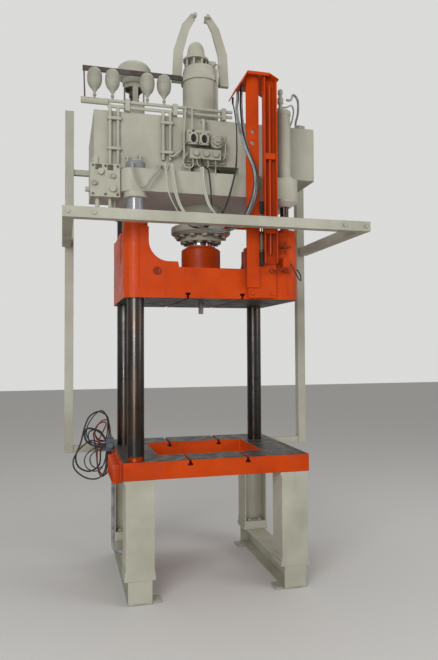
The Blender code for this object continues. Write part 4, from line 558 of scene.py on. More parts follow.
def finish_piece(thing, name, finish, slot, body, angle=35.0):
    """Names a piece, applies its place, shades it, paints it and hands it to its body."""
    take(thing)
    bpy.ops.object.transform_apply(location=True, rotation=True, scale=True)
    if thing.type == "MESH":
        bpy.ops.object.shade_smooth_by_angle(angle=math.radians(angle))
    thing.name = name
    thing.data.materials.clear()
    thing.data.materials.append(finish)
    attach(thing, body)
    return thing


def soften(node, edge, angle=32.0):
    """A merged, bevelled and smoothed copy that stands for a solid."""
    source = nodes[node]
    made = bpy.data.objects.new(node + "_soft", source.data.copy())
    bpy.context.scene.collection.objects.link(made)
    take(made)
    bpy.ops.mesh.customdata_custom_splitnormals_clear()
    bpy.ops.object.mode_set(mode="EDIT")
    bpy.ops.mesh.select_all(action="SELECT")
    bpy.ops.mesh.remove_doubles(threshold=0.00005)
    bpy.ops.mesh.dissolve_limited(angle_limit=math.radians(0.5))
    bpy.ops.object.mode_set(mode="OBJECT")
    if edge:
        rounded = made.modifiers.new("edge", "BEVEL")
        rounded.width = edge
        rounded.segments = 2
        rounded.limit_method = "ANGLE"
        rounded.angle_limit = math.radians(40)
        bpy.ops.object.modifier_apply(modifier="edge")
    bpy.ops.object.shade_smooth_by_angle(angle=math.radians(angle))
    even = made.modifiers.new("even", "WEIGHTED_NORMAL")
    even.keep_sharp = True
    bpy.ops.object.modifier_apply(modifier="even")
    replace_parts(made, node)
    return made


print("helpers for pieces ready")

# %% [markdown]
# ## How much each solid is rounded
# A casting's edges are rounder than a plate's. One width for all would be shorter to write, but it would melt
# the legs, which are made of thin plate. So a table gives each bevel's width in metres, and a solid that is
# missing from it is only smoothed. Columns, bulbs and hoses are made again further down, finer than before.

# %% Soften the solids
EDGES = {"bed": 0.003, "slide": 0.004, "crown": 0.003, "tank": 0.003, "mast_hood": 0.001,
         "mast_blade": 0.0015, "mast_channel": 0.0015, "mast_foot": 0.002, "manifold": 0.002,
         "side_valve": 0.003, "guard_beam": 0.003, "guard_arm_left": 0.003, "guard_arm_right": 0.003,
         "guard_post_left": 0.003,
         "guard_post_right": 0.003, "yoke_bar_left": 0.002, "yoke_bar_right": 0.002, "runner_left": 0.002,
         "runner_right": 0.002, "leg_front_left": 0.0008, "leg_front_right": 0.0008, "leg_back_left": 0.0008,
         "leg_back_right": 0.0008, "slide_switch": 0.002, "service_valve": 0.002}
COLUMNS = ("column_front_left", "column_back_left", "column_back_right")
BULBS = ("accumulator_1", "accumulator_2", "accumulator_3", "accumulator_4")
HOSES = ("cable_a", "cable_b", "cable_c", "loop_hose", "filter_hose", "black_loop", "red_loop")
SLIDE_BODY = nodes["slide"]["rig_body"]
FIXED_BODY = nodes["bed"]["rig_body"]
for name, thing in nodes.items():
    if name not in COLUMNS + BULBS + HOSES:
        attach(soften(name, EDGES.get(name, 0.0)), thing["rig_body"])
print("softened:", len(nodes) - len(COLUMNS + BULBS + HOSES))

# %% [markdown]
# ## Columns and bulbs
# The columns are turned bars, and the bulbs are spun vessels that hold oil under gas pressure. Both are round
# about an upright axis. A cylinder with a bevel would do for a column, but not for a bulb. A profile of radii
# and heights, set out in rings, does for both, so one helper makes them.

# %% Columns and bulbs
def turned(name, centre, profile, sides):
    """A closed round body from (radius, height) points, from its foot on the axis to its top on the axis."""
    points = [(centre[0], centre[1], profile[0][1])]
    rings = profile[1:-1]
    for radius, height in rings:
        for count in range(sides):
            turn = 2 * math.pi * count / sides
            points.append((centre[0] + radius * math.cos(turn), centre[1] + radius * math.sin(turn), height))
    points.append((centre[0], centre[1], profile[-1][1]))
    faces = []
    for count in range(sides):
        follow = (count + 1) % sides
        faces.append((0, 1 + follow, 1 + count))
        for ring in range(len(rings) - 1):
            low = 1 + ring * sides
            high = low + sides
            faces.append((low + count, low + follow, high + follow, high + count))
        last = 1 + (len(rings) - 1) * sides
        faces.append((last + count, last + follow, len(points) - 1))
    mesh = bpy.data.meshes.new(name)
    mesh.from_pydata(points, [], faces)
    made = bpy.data.objects.new(name, mesh)
    bpy.context.scene.collection.objects.link(made)
    return made


def middle_of(node):
    """The axis of an upright round solid."""
    low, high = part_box(node)
    return (low.x + high.x) / 2, (low.y + high.y) / 2


COLUMN_CHAMFER = 0.004
COLUMN_SIDES = 72
BULB_SIDES = 40
for name in COLUMNS:
    low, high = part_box(name)
    radius = (high.x - low.x) / 2
    body = turned(name + "_bar", middle_of(name),
                  [(0, low.z), (radius - COLUMN_CHAMFER, low.z), (radius, low.z + COLUMN_CHAMFER),
                   (radius, (low.z + high.z) / 2), (radius, high.z - COLUMN_CHAMFER),
                   (radius - COLUMN_CHAMFER, high.z), (0, high.z)], COLUMN_SIDES)
    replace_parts(body, name)
    finish_piece(body, body.name, OWN_FINISH[name], slot_of[name], FIXED_BODY)

BULB_SHAPE = ((0.14, 0.0), (0.14, 0.06), (0.23, 0.065), (0.23, 0.13), (0.15, 0.14), (0.15, 0.19),
              (0.30, 0.225), (0.36, 0.27), (0.55, 0.32), (0.76, 0.385), (0.90, 0.46), (0.985, 0.56),
              (1.0, 0.64), (1.0, 0.665), (0.975, 0.67), (0.975, 0.685), (0.995, 0.69), (0.97, 0.78),
              (0.88, 0.865), (0.72, 0.932), (0.47, 0.978), (0.22, 0.996))
for name in BULBS:
    low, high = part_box(name)
    radius = (high.x - low.x) / 2
    rings = [(radius * a, low.z + (high.z - low.z) * b) for a, b in BULB_SHAPE]
    profile = [(0, low.z)] + rings + [(0, high.z)]
    body = turned(name + "_bulb", middle_of(name), profile, BULB_SIDES)
    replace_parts(body, name)
    finish_piece(body, body.name, bulb_coat, slot_of[name], FIXED_BODY, 50.0)
print("turned again:", len(COLUMNS + BULBS))

# %% [markdown]
# ## Small pipes and wires
# The pipework between the tank, the manifold and the crown is thin tube, bent by hand. It could be put
# together from cylinders and quarter rings. A curve with a round section is the natural tool instead: a few
# points are smoothed, and the tube's ends are closed and sunk into what they meet.

# %% Helpers for pipes
def smooth_path(points, step):
    """Points read evenly along a smooth curve through the given ones."""
    given = [Vector(p) for p in points]
    given = [given[0] * 2 - given[1]] + given + [given[-1] * 2 - given[-2]]
    fine = []
    for a, b, c, d in zip(given, given[1:], given[2:], given[3:]):
        for count in range(16):
            t = count / 16
            fine.append(0.5 * (2 * b + (c - a) * t + (2 * a - 5 * b + 4 * c - d) * t * t
                               + (3 * b - a - 3 * c + d) * t * t * t))
    fine.append(given[-2])
    kept = [fine[0]]
    for point in fine[1:-1]:
        if (point - kept[-1]).length >= step:
            kept.append(point)
    return kept + [fine[-1]]


def tube(name, points, diameter, sides=3):
    """A round tube along a smooth path, with closed ends, as a mesh."""
    curve = bpy.data.curves.new(name, "CURVE")
    curve.dimensions = "3D"
    curve.bevel_depth = diameter / 2
    curve.bevel_resolution = sides
    curve.use_fill_caps = True
    line = curve.splines.new("POLY")
    path = smooth_path(points, max(0.008, diameter * 0.7))
    line.points.add(len(path) - 1)
    for target, point in zip(line.points, path):
        target.co = (*point, 1.0)
    made = bpy.data.objects.new(name, curve)
    bpy.context.scene.collection.objects.link(made)
    take(made)
    bpy.ops.object.convert(target="MESH")
    return bpy.context.object


def pipe(name, points, diameter, finish, slot, body):
    """A tube that is painted and rides on a body."""
    return finish_piece(tube(name, points, diameter), name, finish, slot, body, 50.0)


print("helpers for pipes ready")

# %% [markdown]
# ## Finish, slot and body
# Each added piece has a finish and moves with one body, and each call also names one of the imported model's
# slots. The three could be written out in every call. The same few sets come again and again, so each gets a
# name here.

# %% Sets of finish, slot and body
CREAM_ON_FRAME = (cream_coat, "cream_paint", FIXED_BODY)
CREAM_ON_SLIDE = (cream_coat, "cream_paint", SLIDE_BODY)
ORANGE_ON_FRAME = (orange_coat, "orange_paint", FIXED_BODY)
ORANGE_ON_SLIDE = (orange_coat, "orange_paint", SLIDE_BODY)
STEEL_ON_FRAME = (dark_steel, "worn_steel", FIXED_BODY)
STEEL_ON_SLIDE = (dark_steel, "worn_steel", SLIDE_BODY)
BLACK_ON_FRAME = (black_cover, "black_rubber", FIXED_BODY)
BLACK_ON_SLIDE = (black_cover, "black_rubber", SLIDE_BODY)
PLASTIC_ON_FRAME = (black_plastic, "black_rubber", FIXED_BODY)
PLASTIC_ON_SLIDE = (black_plastic, "black_rubber", SLIDE_BODY)
GREY_ON_FRAME = (grey_cover, "grey_hose", FIXED_BODY)
print("the frame and the slide are", FIXED_BODY, "and", SLIDE_BODY)

# %% [markdown]
# ## The loose pipes
# A thin sight pipe and a cross pipe hang before the tank, a vent pipe runs up the cylinder's side, a black
# lead drops from the manifold, and a grey conduit goes down to the floor runner. A call for each would say
# the same words again, so a table holds each pipe's thickness, kind and points.

# %% Pipes
TANK_TOP = 3.141
CONDUIT_X = -0.630
CONDUIT_Y = 0.110
STUB_Y = -0.238
SUNK = 0.001
PIPES = (
    ("sight_pipe", 0.014, CREAM_ON_FRAME, (
        (-0.170, -0.176, 3.203), (-0.172, -0.205, 3.200), (-0.176, -0.212, 3.150), (-0.184, -0.214, 3.050),
        (-0.185, -0.214, 2.930), (-0.187, -0.214, 2.850), (-0.205, -0.222, 2.790), (-0.225, -0.236, 2.740),
        (-0.230, -0.240, CROWN_TOP - SUNK))),
    ("cross_pipe", 0.016, CREAM_ON_FRAME, (
        (-0.274, -0.176, 2.875), (-0.270, -0.200, 2.855), (-0.240, -0.206, 2.868), (-0.206, -0.196, 2.900),
        (-0.188, -0.174, 2.906))),
    ("vent_pipe", 0.011, CREAM_ON_FRAME, (
        (0.076, -0.040, 3.592), (0.094, -0.062, 3.590), (0.087, -0.096, 3.576), (0.074, -0.109, 3.530),
        (0.0737, -0.109, 3.400), (0.0737, -0.109, TANK_TOP - SUNK))),
    ("drain_cable", 0.010, BLACK_ON_FRAME, (
        (-0.072, -0.236, 2.846), (-0.072, -0.250, 2.820), (-0.072, -0.330, 2.760), (-0.072, -0.425, 2.715),
        (-0.066, -0.446, 2.640), (-0.058, -0.446, 2.540), (-0.048, -0.420, 2.450), (-0.038, -0.330, 2.392),
        (-0.030, -0.209, 2.386))),
    ("return_loop", 0.012, CREAM_ON_FRAME, (
        (0.472, -0.343, 3.204), (0.500, -0.341, 3.208), (0.548, -0.312, 3.236), (0.588, -0.250, 3.226),
        (0.600, -0.190, 3.180), (0.600, -0.140, TANK_TOP + 0.012), (0.600, -0.132, TANK_TOP - SUNK))),
    ("switch_lead", 0.008, BLACK_ON_SLIDE, (
        (0.466, -0.442, 2.128), (0.486, -0.448, 2.110), (0.512, -0.450, 2.060), (0.545, -0.436, 2.020),
        (0.568, -0.405, 2.022), (0.576, -0.372, 2.062), (0.566, -0.348, 2.094), (0.553, -0.343, 2.100))),
    ("floor_conduit", 0.024, GREY_ON_FRAME, (
        (-0.609, CONDUIT_Y, 0.800), (-0.622, CONDUIT_Y, 0.797), (CONDUIT_X, CONDUIT_Y, 0.770),
        (CONDUIT_X, CONDUIT_Y, 0.700), (CONDUIT_X, CONDUIT_Y, 0.450), (CONDUIT_X, CONDUIT_Y, 0.230),
        (-0.622, CONDUIT_Y, 0.190), (-0.600, CONDUIT_Y, 0.170), (-0.570, CONDUIT_Y, 0.163),
        (-0.556, CONDUIT_Y, 0.144))),
)
for name, diameter, kit, points in PIPES:
    pipe(name, points, diameter, *kit)
for number, (x, height) in enumerate(((-0.566, 2.830), (-0.526, 2.800), (-0.486, 2.845))):
    points = ((x, STUB_Y, CROWN_TOP - SUNK), (x, STUB_Y, height - 0.060), (x, STUB_Y, height - 0.022),
              (x, STUB_Y + 0.020, height), (x, -0.196, height), (x, -0.160, height))
    pipe(f"crown_stub_{number + 1}", points, 0.016, *CREAM_ON_FRAME)
print("pipes:", len(PIPES) + 3)

# %% [markdown]
# ## The routes of the cables
# Three cables leave the crown, hang in a loop and climb to the hood, which travels with the slide. A hanging
# curve could be worked out by a formula, but it holds for limp cords, and these cables are stiff. So each
# route is a short list of points along the cable, from its union on the crown to the hood.

# %% Routes of the cables
CROWN_Y = -0.4083
UNION_Z = 2.715
CABLE_A = (
    (-0.352, CROWN_Y, UNION_Z), (-0.352, -0.442, UNION_Z), (-0.330, -0.456, 2.540), (-0.275, -0.460, 2.423),
    (-0.232, -0.461, 2.362), (-0.180, -0.461, 2.333), (-0.120, -0.461, 2.335), (-0.043, -0.461, 2.370),
    (0.023, -0.461, 2.450), (0.070, -0.461, 2.583), (0.107, -0.455, 2.750), (0.124, -0.410, 2.991),
    (0.142, -0.290, 3.190), (0.156, -0.215, 3.245), (0.156, -0.215, 3.2947))
CABLE_B = (
    (-0.308, CROWN_Y, UNION_Z), (-0.308, -0.442, UNION_Z), (-0.286, -0.476, 2.520), (-0.240, -0.486, 2.410),
    (-0.180, -0.490, 2.352), (-0.060, -0.490, 2.308), (0.050, -0.491, 2.318), (0.133, -0.493, 2.368),
    (0.196, -0.496, 2.462), (0.232, -0.498, 2.585), (0.226, -0.496, 2.714), (0.178, -0.484, 2.843),
    (0.160, -0.440, 2.982), (0.172, -0.360, 3.160), (0.192, -0.300, 3.296), (0.192, -0.300, 3.3457))
CABLE_C = (
    (-0.110, CROWN_Y, UNION_Z), (-0.110, -0.442, UNION_Z), (-0.112, -0.470, 2.606), (-0.089, -0.486, 2.490),
    (-0.050, -0.497, 2.415), (0.006, -0.512, 2.362), (0.070, -0.522, 2.358), (0.133, -0.525, 2.400),
    (0.176, -0.526, 2.480), (0.206, -0.526, 2.590), (0.200, -0.524, 2.714), (0.150, -0.514, 2.843),
    (0.126, -0.470, 2.985), (0.130, -0.400, 3.130), (0.150, -0.350, 3.226), (0.150, -0.350, 3.2764))
print("points on the routes:", len(CABLE_A), len(CABLE_B), len(CABLE_C))

# %% [markdown]
# ## The strands of the cables
# Each cable is a small bundle of strands wound slowly round one route. One thick tube would look like a hose.
# A strand runs from the crown on the fixed frame to the hood on the slide. The
# crown's paint also caught the first half of the pale ones, so their cover changes colour on the way.

# %% Strands of the cables
DARK_COVER = (srgb(40, 40, 42), srgb(66, 66, 68), 0.42)
FADE = 0.03


def part_dark(name, edge_x):
    """Black, but painted over left of a place."""
    finish, tree, shader, cover = cable_cover(name, *DARK_COVER)
    share = spread(tree, place_parts(tree)[0], edge_x + FADE, edge_x - FADE)
    tree.links.new(blend_colours(tree, share, cover, CREAM), shader.inputs["Base Color"])
    return finish


def wound(route, offset, turns, start):
    """A strand's points: the route, moved aside by an offset that slowly turns round it."""
    points = []
    last = len(route) - 1
    for count, point in enumerate(route):
        turn = start + 2 * math.pi * turns * count / last
        along = Vector(route[min(count + 1, last)]) - Vector(route[max(count - 1, 0)])
        across = along.cross(Vector((0.0, 1.0, 0.0))).normalized()
        out = across.cross(along).normalized()
        points.append(Vector(point) + across * (offset * math.cos(turn)) + out * (offset * math.sin(turn)))
    return points


pale_b = part_painted("cover_b", -0.16)
pale_c = part_painted("cover_c", -0.04)
dark_a = part_dark("cover_a", -0.20)
dark_c = part_dark("cover_dark_c", -0.06)
STRANDS = (("cable_a", CABLE_A, 0.0036, 0.0075, 1.0, (dark_a, dark_a)),
           ("cable_b", CABLE_B, 0.0058, 0.0100, 1.5, (pale_b, pale_b, dark_a)),
           ("cable_c", CABLE_C, 0.0058, 0.0100, 1.2, (pale_c, dark_c, pale_c)))
for node, route, offset, diameter, turns, covers in STRANDS:
    for number, cover in enumerate(covers):
        points = wound(route, offset, turns, 2 * math.pi * number / len(covers))
        strand = tube(f"{node}_strand_{number + 1}", points, diameter, 2)
        bpy.ops.object.shade_smooth_by_angle(angle=math.radians(50))
        strand.data.materials.clear()
        strand.data.materials.append(cover)
        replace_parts(strand, node)
        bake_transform(strand)
print("strands:", sum(len(entry[-1]) for entry in STRANDS))

# %% [markdown]
# ## The hoses
# Four hoses hang in loops between two fittings of the fixed frame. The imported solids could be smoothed, but
# they are coarse. So each hose is laid again along the same points, as a finer tube that stands for it.

# %% Hoses
HOSE_ROUTES = (
    ("loop_hose", 0.015, bulb_coat, (
        (-0.560, CROWN_Y, UNION_Z), (-0.560, -0.442, UNION_Z), (-0.554, -0.461, 2.660),
        (-0.534, -0.463, 2.600), (-0.506, -0.463, 2.565), (-0.471, -0.463, 2.576),
        (-0.446, -0.463, 2.620), (-0.399, -0.461, 2.680), (-0.385, -0.442, UNION_Z),
        (-0.385, CROWN_Y, UNION_Z))),
    ("filter_hose", 0.016, grey_cover, (
        (0.498, -0.343, 3.258), (0.530, -0.343, 3.260), (0.560, -0.315, 3.310), (0.615, -0.260, 3.300),
        (0.645, -0.190, 3.240), (0.650, -0.135, 3.189), (0.650, -0.135, TANK_TOP + 0.0003))),
    ("black_loop", 0.012, black_cover, (
        (-0.640, 0.3225, 0.924), (-0.640, 0.3225, 0.955), (-0.655, 0.300, 1.075), (-0.715, 0.300, 1.116),
        (-0.780, 0.300, 1.085), (-0.815, 0.300, 1.010), (-0.842, 0.300, 0.900), (-0.878, 0.300, 0.800),
        (-0.855, 0.300, 0.725), (-0.780, 0.300, 0.692), (-0.712, 0.305, 0.735), (-0.700, 0.3225, 0.840),
        (-0.669, 0.3225, 0.8575))),
    ("red_loop", 0.010, red_cover, (
        (-0.669, 0.300, 0.9025), (-0.700, 0.300, 0.9025), (-0.735, 0.270, 0.930), (-0.745, 0.270, 0.990),
        (-0.710, 0.280, 1.035), (-0.665, 0.280, 1.028), (-0.722, 0.250, 0.900), (-0.728, 0.250, 0.740),
        (-0.690, 0.270, 0.668), (-0.652, 0.2775, 0.690), (-0.640, 0.2775, 0.795), (-0.640, 0.2775, 0.836))),
)
for node, diameter, cover, points in HOSE_ROUTES:
    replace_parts(pipe(node + "_smooth", points, diameter, cover, slot_of[node], FIXED_BODY), node)
print("hoses:", len(HOSE_ROUTES))

# %% [markdown]
# ## Thin leads round the service block
# A tangle of thin leads hangs in loops round the service block. Each could be bent in all three directions,
# but they are seen nearly straight from the front. So a lead keeps one depth, its points give X and height
# alone, and a slow wave in depth keeps it from lying in a plane.

# %% Thin leads
LEAD_WAVE = 0.006
LEADS = (
    ("lead_arc", 0.008, black_cover, 0.330, (
        (-0.660, 0.924), (-0.652, 0.985), (-0.655, 1.062), (-0.688, 1.120), (-0.735, 1.100), (-0.775, 1.050),
        (-0.798, 1.000), (-0.800, 0.940), (-0.765, 0.895), (-0.705, 0.878), (-0.669, 0.876))),
    ("lead_upper", 0.014, black_cover, 0.262, (
        (-0.669, 0.912), (-0.700, 0.962), (-0.755, 0.998), (-0.805, 1.000), (-0.818, 0.958), (-0.800, 0.908),
        (-0.750, 0.880), (-0.700, 0.884), (-0.669, 0.890))),
    ("lead_second", 0.011, dark_grey, 0.285, (
        (-0.669, 0.920), (-0.705, 0.975), (-0.752, 0.990), (-0.790, 0.965), (-0.782, 0.905), (-0.735, 0.868),
        (-0.669, 0.864))),
    ("lead_brown", 0.011, brown_cover, 0.272, (
        (-0.669, 0.868), (-0.725, 0.905), (-0.775, 0.915), (-0.826, 0.882), (-0.872, 0.830),
        (-0.896, 0.772), (-0.884, 0.716), (-0.830, 0.664), (-0.765, 0.640), (-0.708, 0.652),
        (-0.672, 0.710), (-0.660, 0.836))),
    ("lead_tan", 0.010, tan_cover, 0.318, (
        (-0.669, 0.900), (-0.715, 0.915), (-0.742, 0.955), (-0.730, 1.005), (-0.695, 1.046), (-0.655, 1.050),
        (-0.636, 1.000), (-0.632, 0.924))),
    ("lead_down", 0.010, black_cover, 0.338, (
        (-0.669, 0.915), (-0.722, 0.975), (-0.750, 0.960), (-0.744, 0.900), (-0.732, 0.820), (-0.724, 0.730),
        (-0.706, 0.655), (-0.675, 0.650), (-0.652, 0.720), (-0.648, 0.836))),
    ("lead_short", 0.009, dark_grey, 0.290, (
        (-0.669, 0.848), (-0.725, 0.842), (-0.775, 0.800), (-0.770, 0.740), (-0.725, 0.712), (-0.680, 0.740),
        (-0.662, 0.836))),
    ("lead_inner", 0.008, black_cover, 0.310, (
        (-0.669, 0.862), (-0.755, 0.850), (-0.812, 0.790), (-0.805, 0.722), (-0.748, 0.688), (-0.690, 0.716),
        (-0.655, 0.836))),
)
for name, diameter, cover, y, path in LEADS:
    points = [(x, y + LEAD_WAVE * math.sin(9.0 * x + 5.0 * z), z) for x, z in path]
    pipe(name, points, diameter, cover, "black_rubber", FIXED_BODY)
print("leads:", len(LEADS))

# %% [markdown]
# ## The spring beside the blade
# In the gap between the mast's blade and its channel hangs a pale coil spring on a dark rod end, with a dark
# switch above the rail and one below the spring. Eight rings would look the same from afar, but a spring is
# one wire, so a helix of points with a round section makes it.

# %% Spring
SPRING_X = 0.275
SPRING_Y = -0.458
SPRING_LOW = 2.205
SPRING_HIGH = 2.300
SPRING_TURNS = 8
SPRING_RADIUS = 0.0098
TURN_STEPS = 12
SPRING_WIRE = 0.0042
spring_path = []
for count in range(SPRING_TURNS * TURN_STEPS + 1):
    turn = 2 * math.pi * count / TURN_STEPS
    x = SPRING_X + SPRING_RADIUS * math.cos(turn)
    y = SPRING_Y + SPRING_RADIUS * math.sin(turn)
    height = SPRING_LOW + (SPRING_HIGH - SPRING_LOW) * count / (SPRING_TURNS * TURN_STEPS)
    spring_path.append((x, y, height))
pipe("cam_spring", spring_path, SPRING_WIRE, *CREAM_ON_SLIDE)
print("spring of", SPRING_TURNS, "turns")

# %% [markdown]
# ## Bosses and bars
# Plugs, caps and screw heads are round bosses with a step in their face. Flanges, ribs and seams are plain
# bars. A boss could be turned from a profile, as the columns are. A cylinder whose end is inset, pushed in
# and bevelled is quicker, and each piece then takes one call.

# %% Helpers for bosses and bars
SET_IN = 0.002
PLATE_ROUNDING = 0.0015


def shape_disc(name, centre, radius, depth, axis, finish, slot, body, sides=32, rim=0.25, taller=1.0):
    """A round boss with a stepped, bevelled outer face, standing along -Y, -X or +Z."""
    turns = {"-Y": (math.pi / 2, 0, 0), "-X": (0, -math.pi / 2, 0), "+Z": (0, 0, 0)}
    deselect()
    bpy.ops.mesh.primitive_cylinder_add(vertices=sides, radius=radius, depth=depth,
                                        location=(0, 0, depth / 2))
    made = bpy.context.object
    bpy.ops.object.transform_apply(location=True)
    pick_faces(made, lambda face: face.normal.z > 0.9)
    bpy.ops.mesh.inset(thickness=radius * rim, depth=0)
    bpy.ops.mesh.extrude_region_move(TRANSFORM_OT_translate={"value": (0, 0, -depth * 0.3)})
    bpy.ops.object.mode_set(mode="OBJECT")
    rounded = made.modifiers.new("edge", "BEVEL")
    rounded.width = min(PLATE_ROUNDING, depth * 0.2)
    rounded.segments = 2
    rounded.limit_method = "ANGLE"
    rounded.angle_limit = math.radians(50)
    bpy.ops.object.modifier_apply(modifier="edge")
    made.scale = (1.0, taller, 1.0)
    bpy.ops.object.transform_apply(scale=True)
    made.rotation_euler = turns[axis]
    made.location = centre
    return finish_piece(made, name, finish, slot, body)


def shape_bar(name, low, high, edge, finish, slot, body):
    """A bar between two corners, with bevelled edges."""
    middle = [(a + b) / 2 for a, b in zip(low, high)]
    size = [b - a for a, b in zip(low, high)]
    deselect()
    bpy.ops.mesh.primitive_cube_add(size=1.0, location=middle, scale=size)
    made = bpy.context.object
    bpy.ops.object.transform_apply(location=True, scale=True)
    bpy.ops.object.mode_set(mode="EDIT")
    bpy.ops.mesh.select_all(action="SELECT")
    bpy.ops.mesh.bevel(offset=edge, segments=2, affect="EDGES")
    bpy.ops.object.mode_set(mode="OBJECT")
    return finish_piece(made, name, finish, slot, body)


print("helpers for bosses and bars ready")

# %% [markdown]
# ## Plug and weld seams
# The slide's front wall has a round plug and two upright weld seams, where the casting was repaired and
# machined. They could be cut into the wall, but the solid stays as it is. So they are added at their size and
# set a little into the wall.

# %% Plug and seams
SLIDE_FRONT = -0.421
PLUG_X = -0.401
PLUG_HEIGHT = 2.055
PLUG_RADIUS = 0.025
PLUG_THICK = 0.007
SEAM_HALF = 0.002
SEAM_PROUD = 0.0016
SEAM_EDGE = 0.0008
SEAM_FOOT = 1.892
SEAM_HEAD = 2.074
shape_disc("slide_plug", (PLUG_X, SLIDE_FRONT + SET_IN, PLUG_HEIGHT), PLUG_RADIUS, PLUG_THICK, "-Y",
           worn_orange, "orange_paint", SLIDE_BODY)
for number, x in enumerate((-0.344, -0.222)):
    shape_bar(f"slide_seam_{number + 1}", (x - SEAM_HALF, SLIDE_FRONT - SEAM_PROUD, SEAM_FOOT),
              (x + SEAM_HALF, SLIDE_FRONT + SET_IN, SEAM_HEAD), SEAM_EDGE, *ORANGE_ON_SLIDE)
print("plug and seams ready")

# %% [markdown]
# ## Side plate on the bed
# The bed's left side carries a bolted plate with two rows of three windows, ribs between them and a ledge
# below. Cutting the windows with other bodies would leave untidy faces. A grid whose lines are moved to the
# windows' edges is cleaner: the windows' faces are deleted and the rest is drawn out to a plate.

# %% Side plate
BED_SIDE = -0.6095
PLATE_THICK = 0.012
PLATE_FACE = BED_SIDE - PLATE_THICK
PLATE_ACROSS = (-0.335, -0.315, -0.215, -0.185, -0.085, -0.055, 0.045, 0.065)
PLATE_UP = (0.738, 0.750, 0.782, 0.798, 0.842, 0.858)
FOOT_LEFT = -0.672
FOOT_LOW = 0.732
FOOT_TOP = 0.7395
RIB_LEFT = -0.668
RIB_TOP = 0.846
RIB_HALF = 0.004
RIB_EDGE = 0.0012
BOLT_HEIGHT = 0.813
BOLT_RADIUS = 0.0075
BOLT_THICK = 0.007
BOLT_SUNK = 0.0005


def in_window(face):
    """True for the faces of the two rows of three windows."""
    for column in (1, 3, 5):
        for row in (1, 3):
            y = (PLATE_ACROSS[column] + PLATE_ACROSS[column + 1]) / 2
            z = (PLATE_UP[row] + PLATE_UP[row + 1]) / 2
            if abs(face.center.y - y) < 0.01 and abs(face.center.z - z) < 0.01:
                return True
    return False


def side_plate():
    """A bolted plate with six windows on the bed's left side."""
    columns = len(PLATE_ACROSS) - 1
    rows = len(PLATE_UP) - 1
    deselect()
    bpy.ops.mesh.primitive_grid_add(x_subdivisions=columns, y_subdivisions=rows, size=1.0)
    made = bpy.context.object
    for vertex in made.data.vertices:
        column = round((vertex.co.x + 0.5) * columns)
        row = round((vertex.co.y + 0.5) * rows)
        vertex.co = (BED_SIDE, PLATE_ACROSS[column], PLATE_UP[row])
    pick_faces(made, in_window)
    bpy.ops.mesh.delete(type="FACE")
    bpy.ops.mesh.select_all(action="SELECT")
    bpy.ops.mesh.extrude_region_move(TRANSFORM_OT_translate={"value": (-PLATE_THICK, 0, 0)})
    bpy.ops.mesh.select_all(action="SELECT")
    bpy.ops.mesh.normals_make_consistent(inside=False)
    bpy.ops.object.mode_set(mode="OBJECT")
    rounded = made.modifiers.new("edge", "BEVEL")
    rounded.width = PLATE_ROUNDING
    rounded.segments = 2
    bpy.ops.object.modifier_apply(modifier="edge")
    return finish_piece(made, "bed_side_plate", *ORANGE_ON_FRAME)


side_plate()
shape_bar("bed_side_foot", (FOOT_LEFT, PLATE_ACROSS[0], FOOT_LOW), (BED_SIDE, PLATE_ACROSS[-1], FOOT_TOP),
          RIB_EDGE, *ORANGE_ON_FRAME)
for number, y in enumerate((-0.329, -0.200, -0.070, 0.059)):
    shape_bar(f"bed_side_rib_{number + 1}", (RIB_LEFT, y - RIB_HALF, FOOT_TOP - SUNK),
              (PLATE_FACE + SUNK, y + RIB_HALF, RIB_TOP), RIB_EDGE, *ORANGE_ON_FRAME)
for number, y in enumerate((-0.325, -0.200, -0.070, 0.055)):
    shape_disc(f"side_plate_bolt_{number + 1}", (PLATE_FACE + BOLT_SUNK, y, BOLT_HEIGHT), BOLT_RADIUS,
               BOLT_THICK, "-X", *STEEL_ON_FRAME, sides=6, rim=0.35)
print("side plate with six windows ready")

# %% [markdown]
# ## Fittings on the tank
# Breather caps and gauge stems stand on the tank's right end. Each is a small stepped cap. A lathe profile
# would do too, but the round boss from before has the same step, so a loop sets four of them up.

# %% Tank fittings
TANK_CAPS = ((0.690, -0.095, 0.020, 0.046), (0.735, -0.060, 0.015, 0.060),
             (0.640, -0.060, 0.012, 0.035), (0.600, -0.130, 0.013, 0.016))
for number, (x, y, radius, height) in enumerate(TANK_CAPS):
    shape_disc(f"tank_fitting_{number + 1}", (x, y, TANK_TOP - SUNK), radius, height, "+Z",
               *CREAM_ON_FRAME, sides=12, rim=0.35)
print("tank fittings:", len(TANK_CAPS))

# %% [markdown]
# ## Fittings on the manifold
# The manifold carries two square port flanges with black plugs and four screws each, a round solenoid with a
# ring of screws, and small plugs. The flanges are bevelled bars, and everything round is the stepped boss at
# another size. The screws are placed by loops, because their spacing is even.

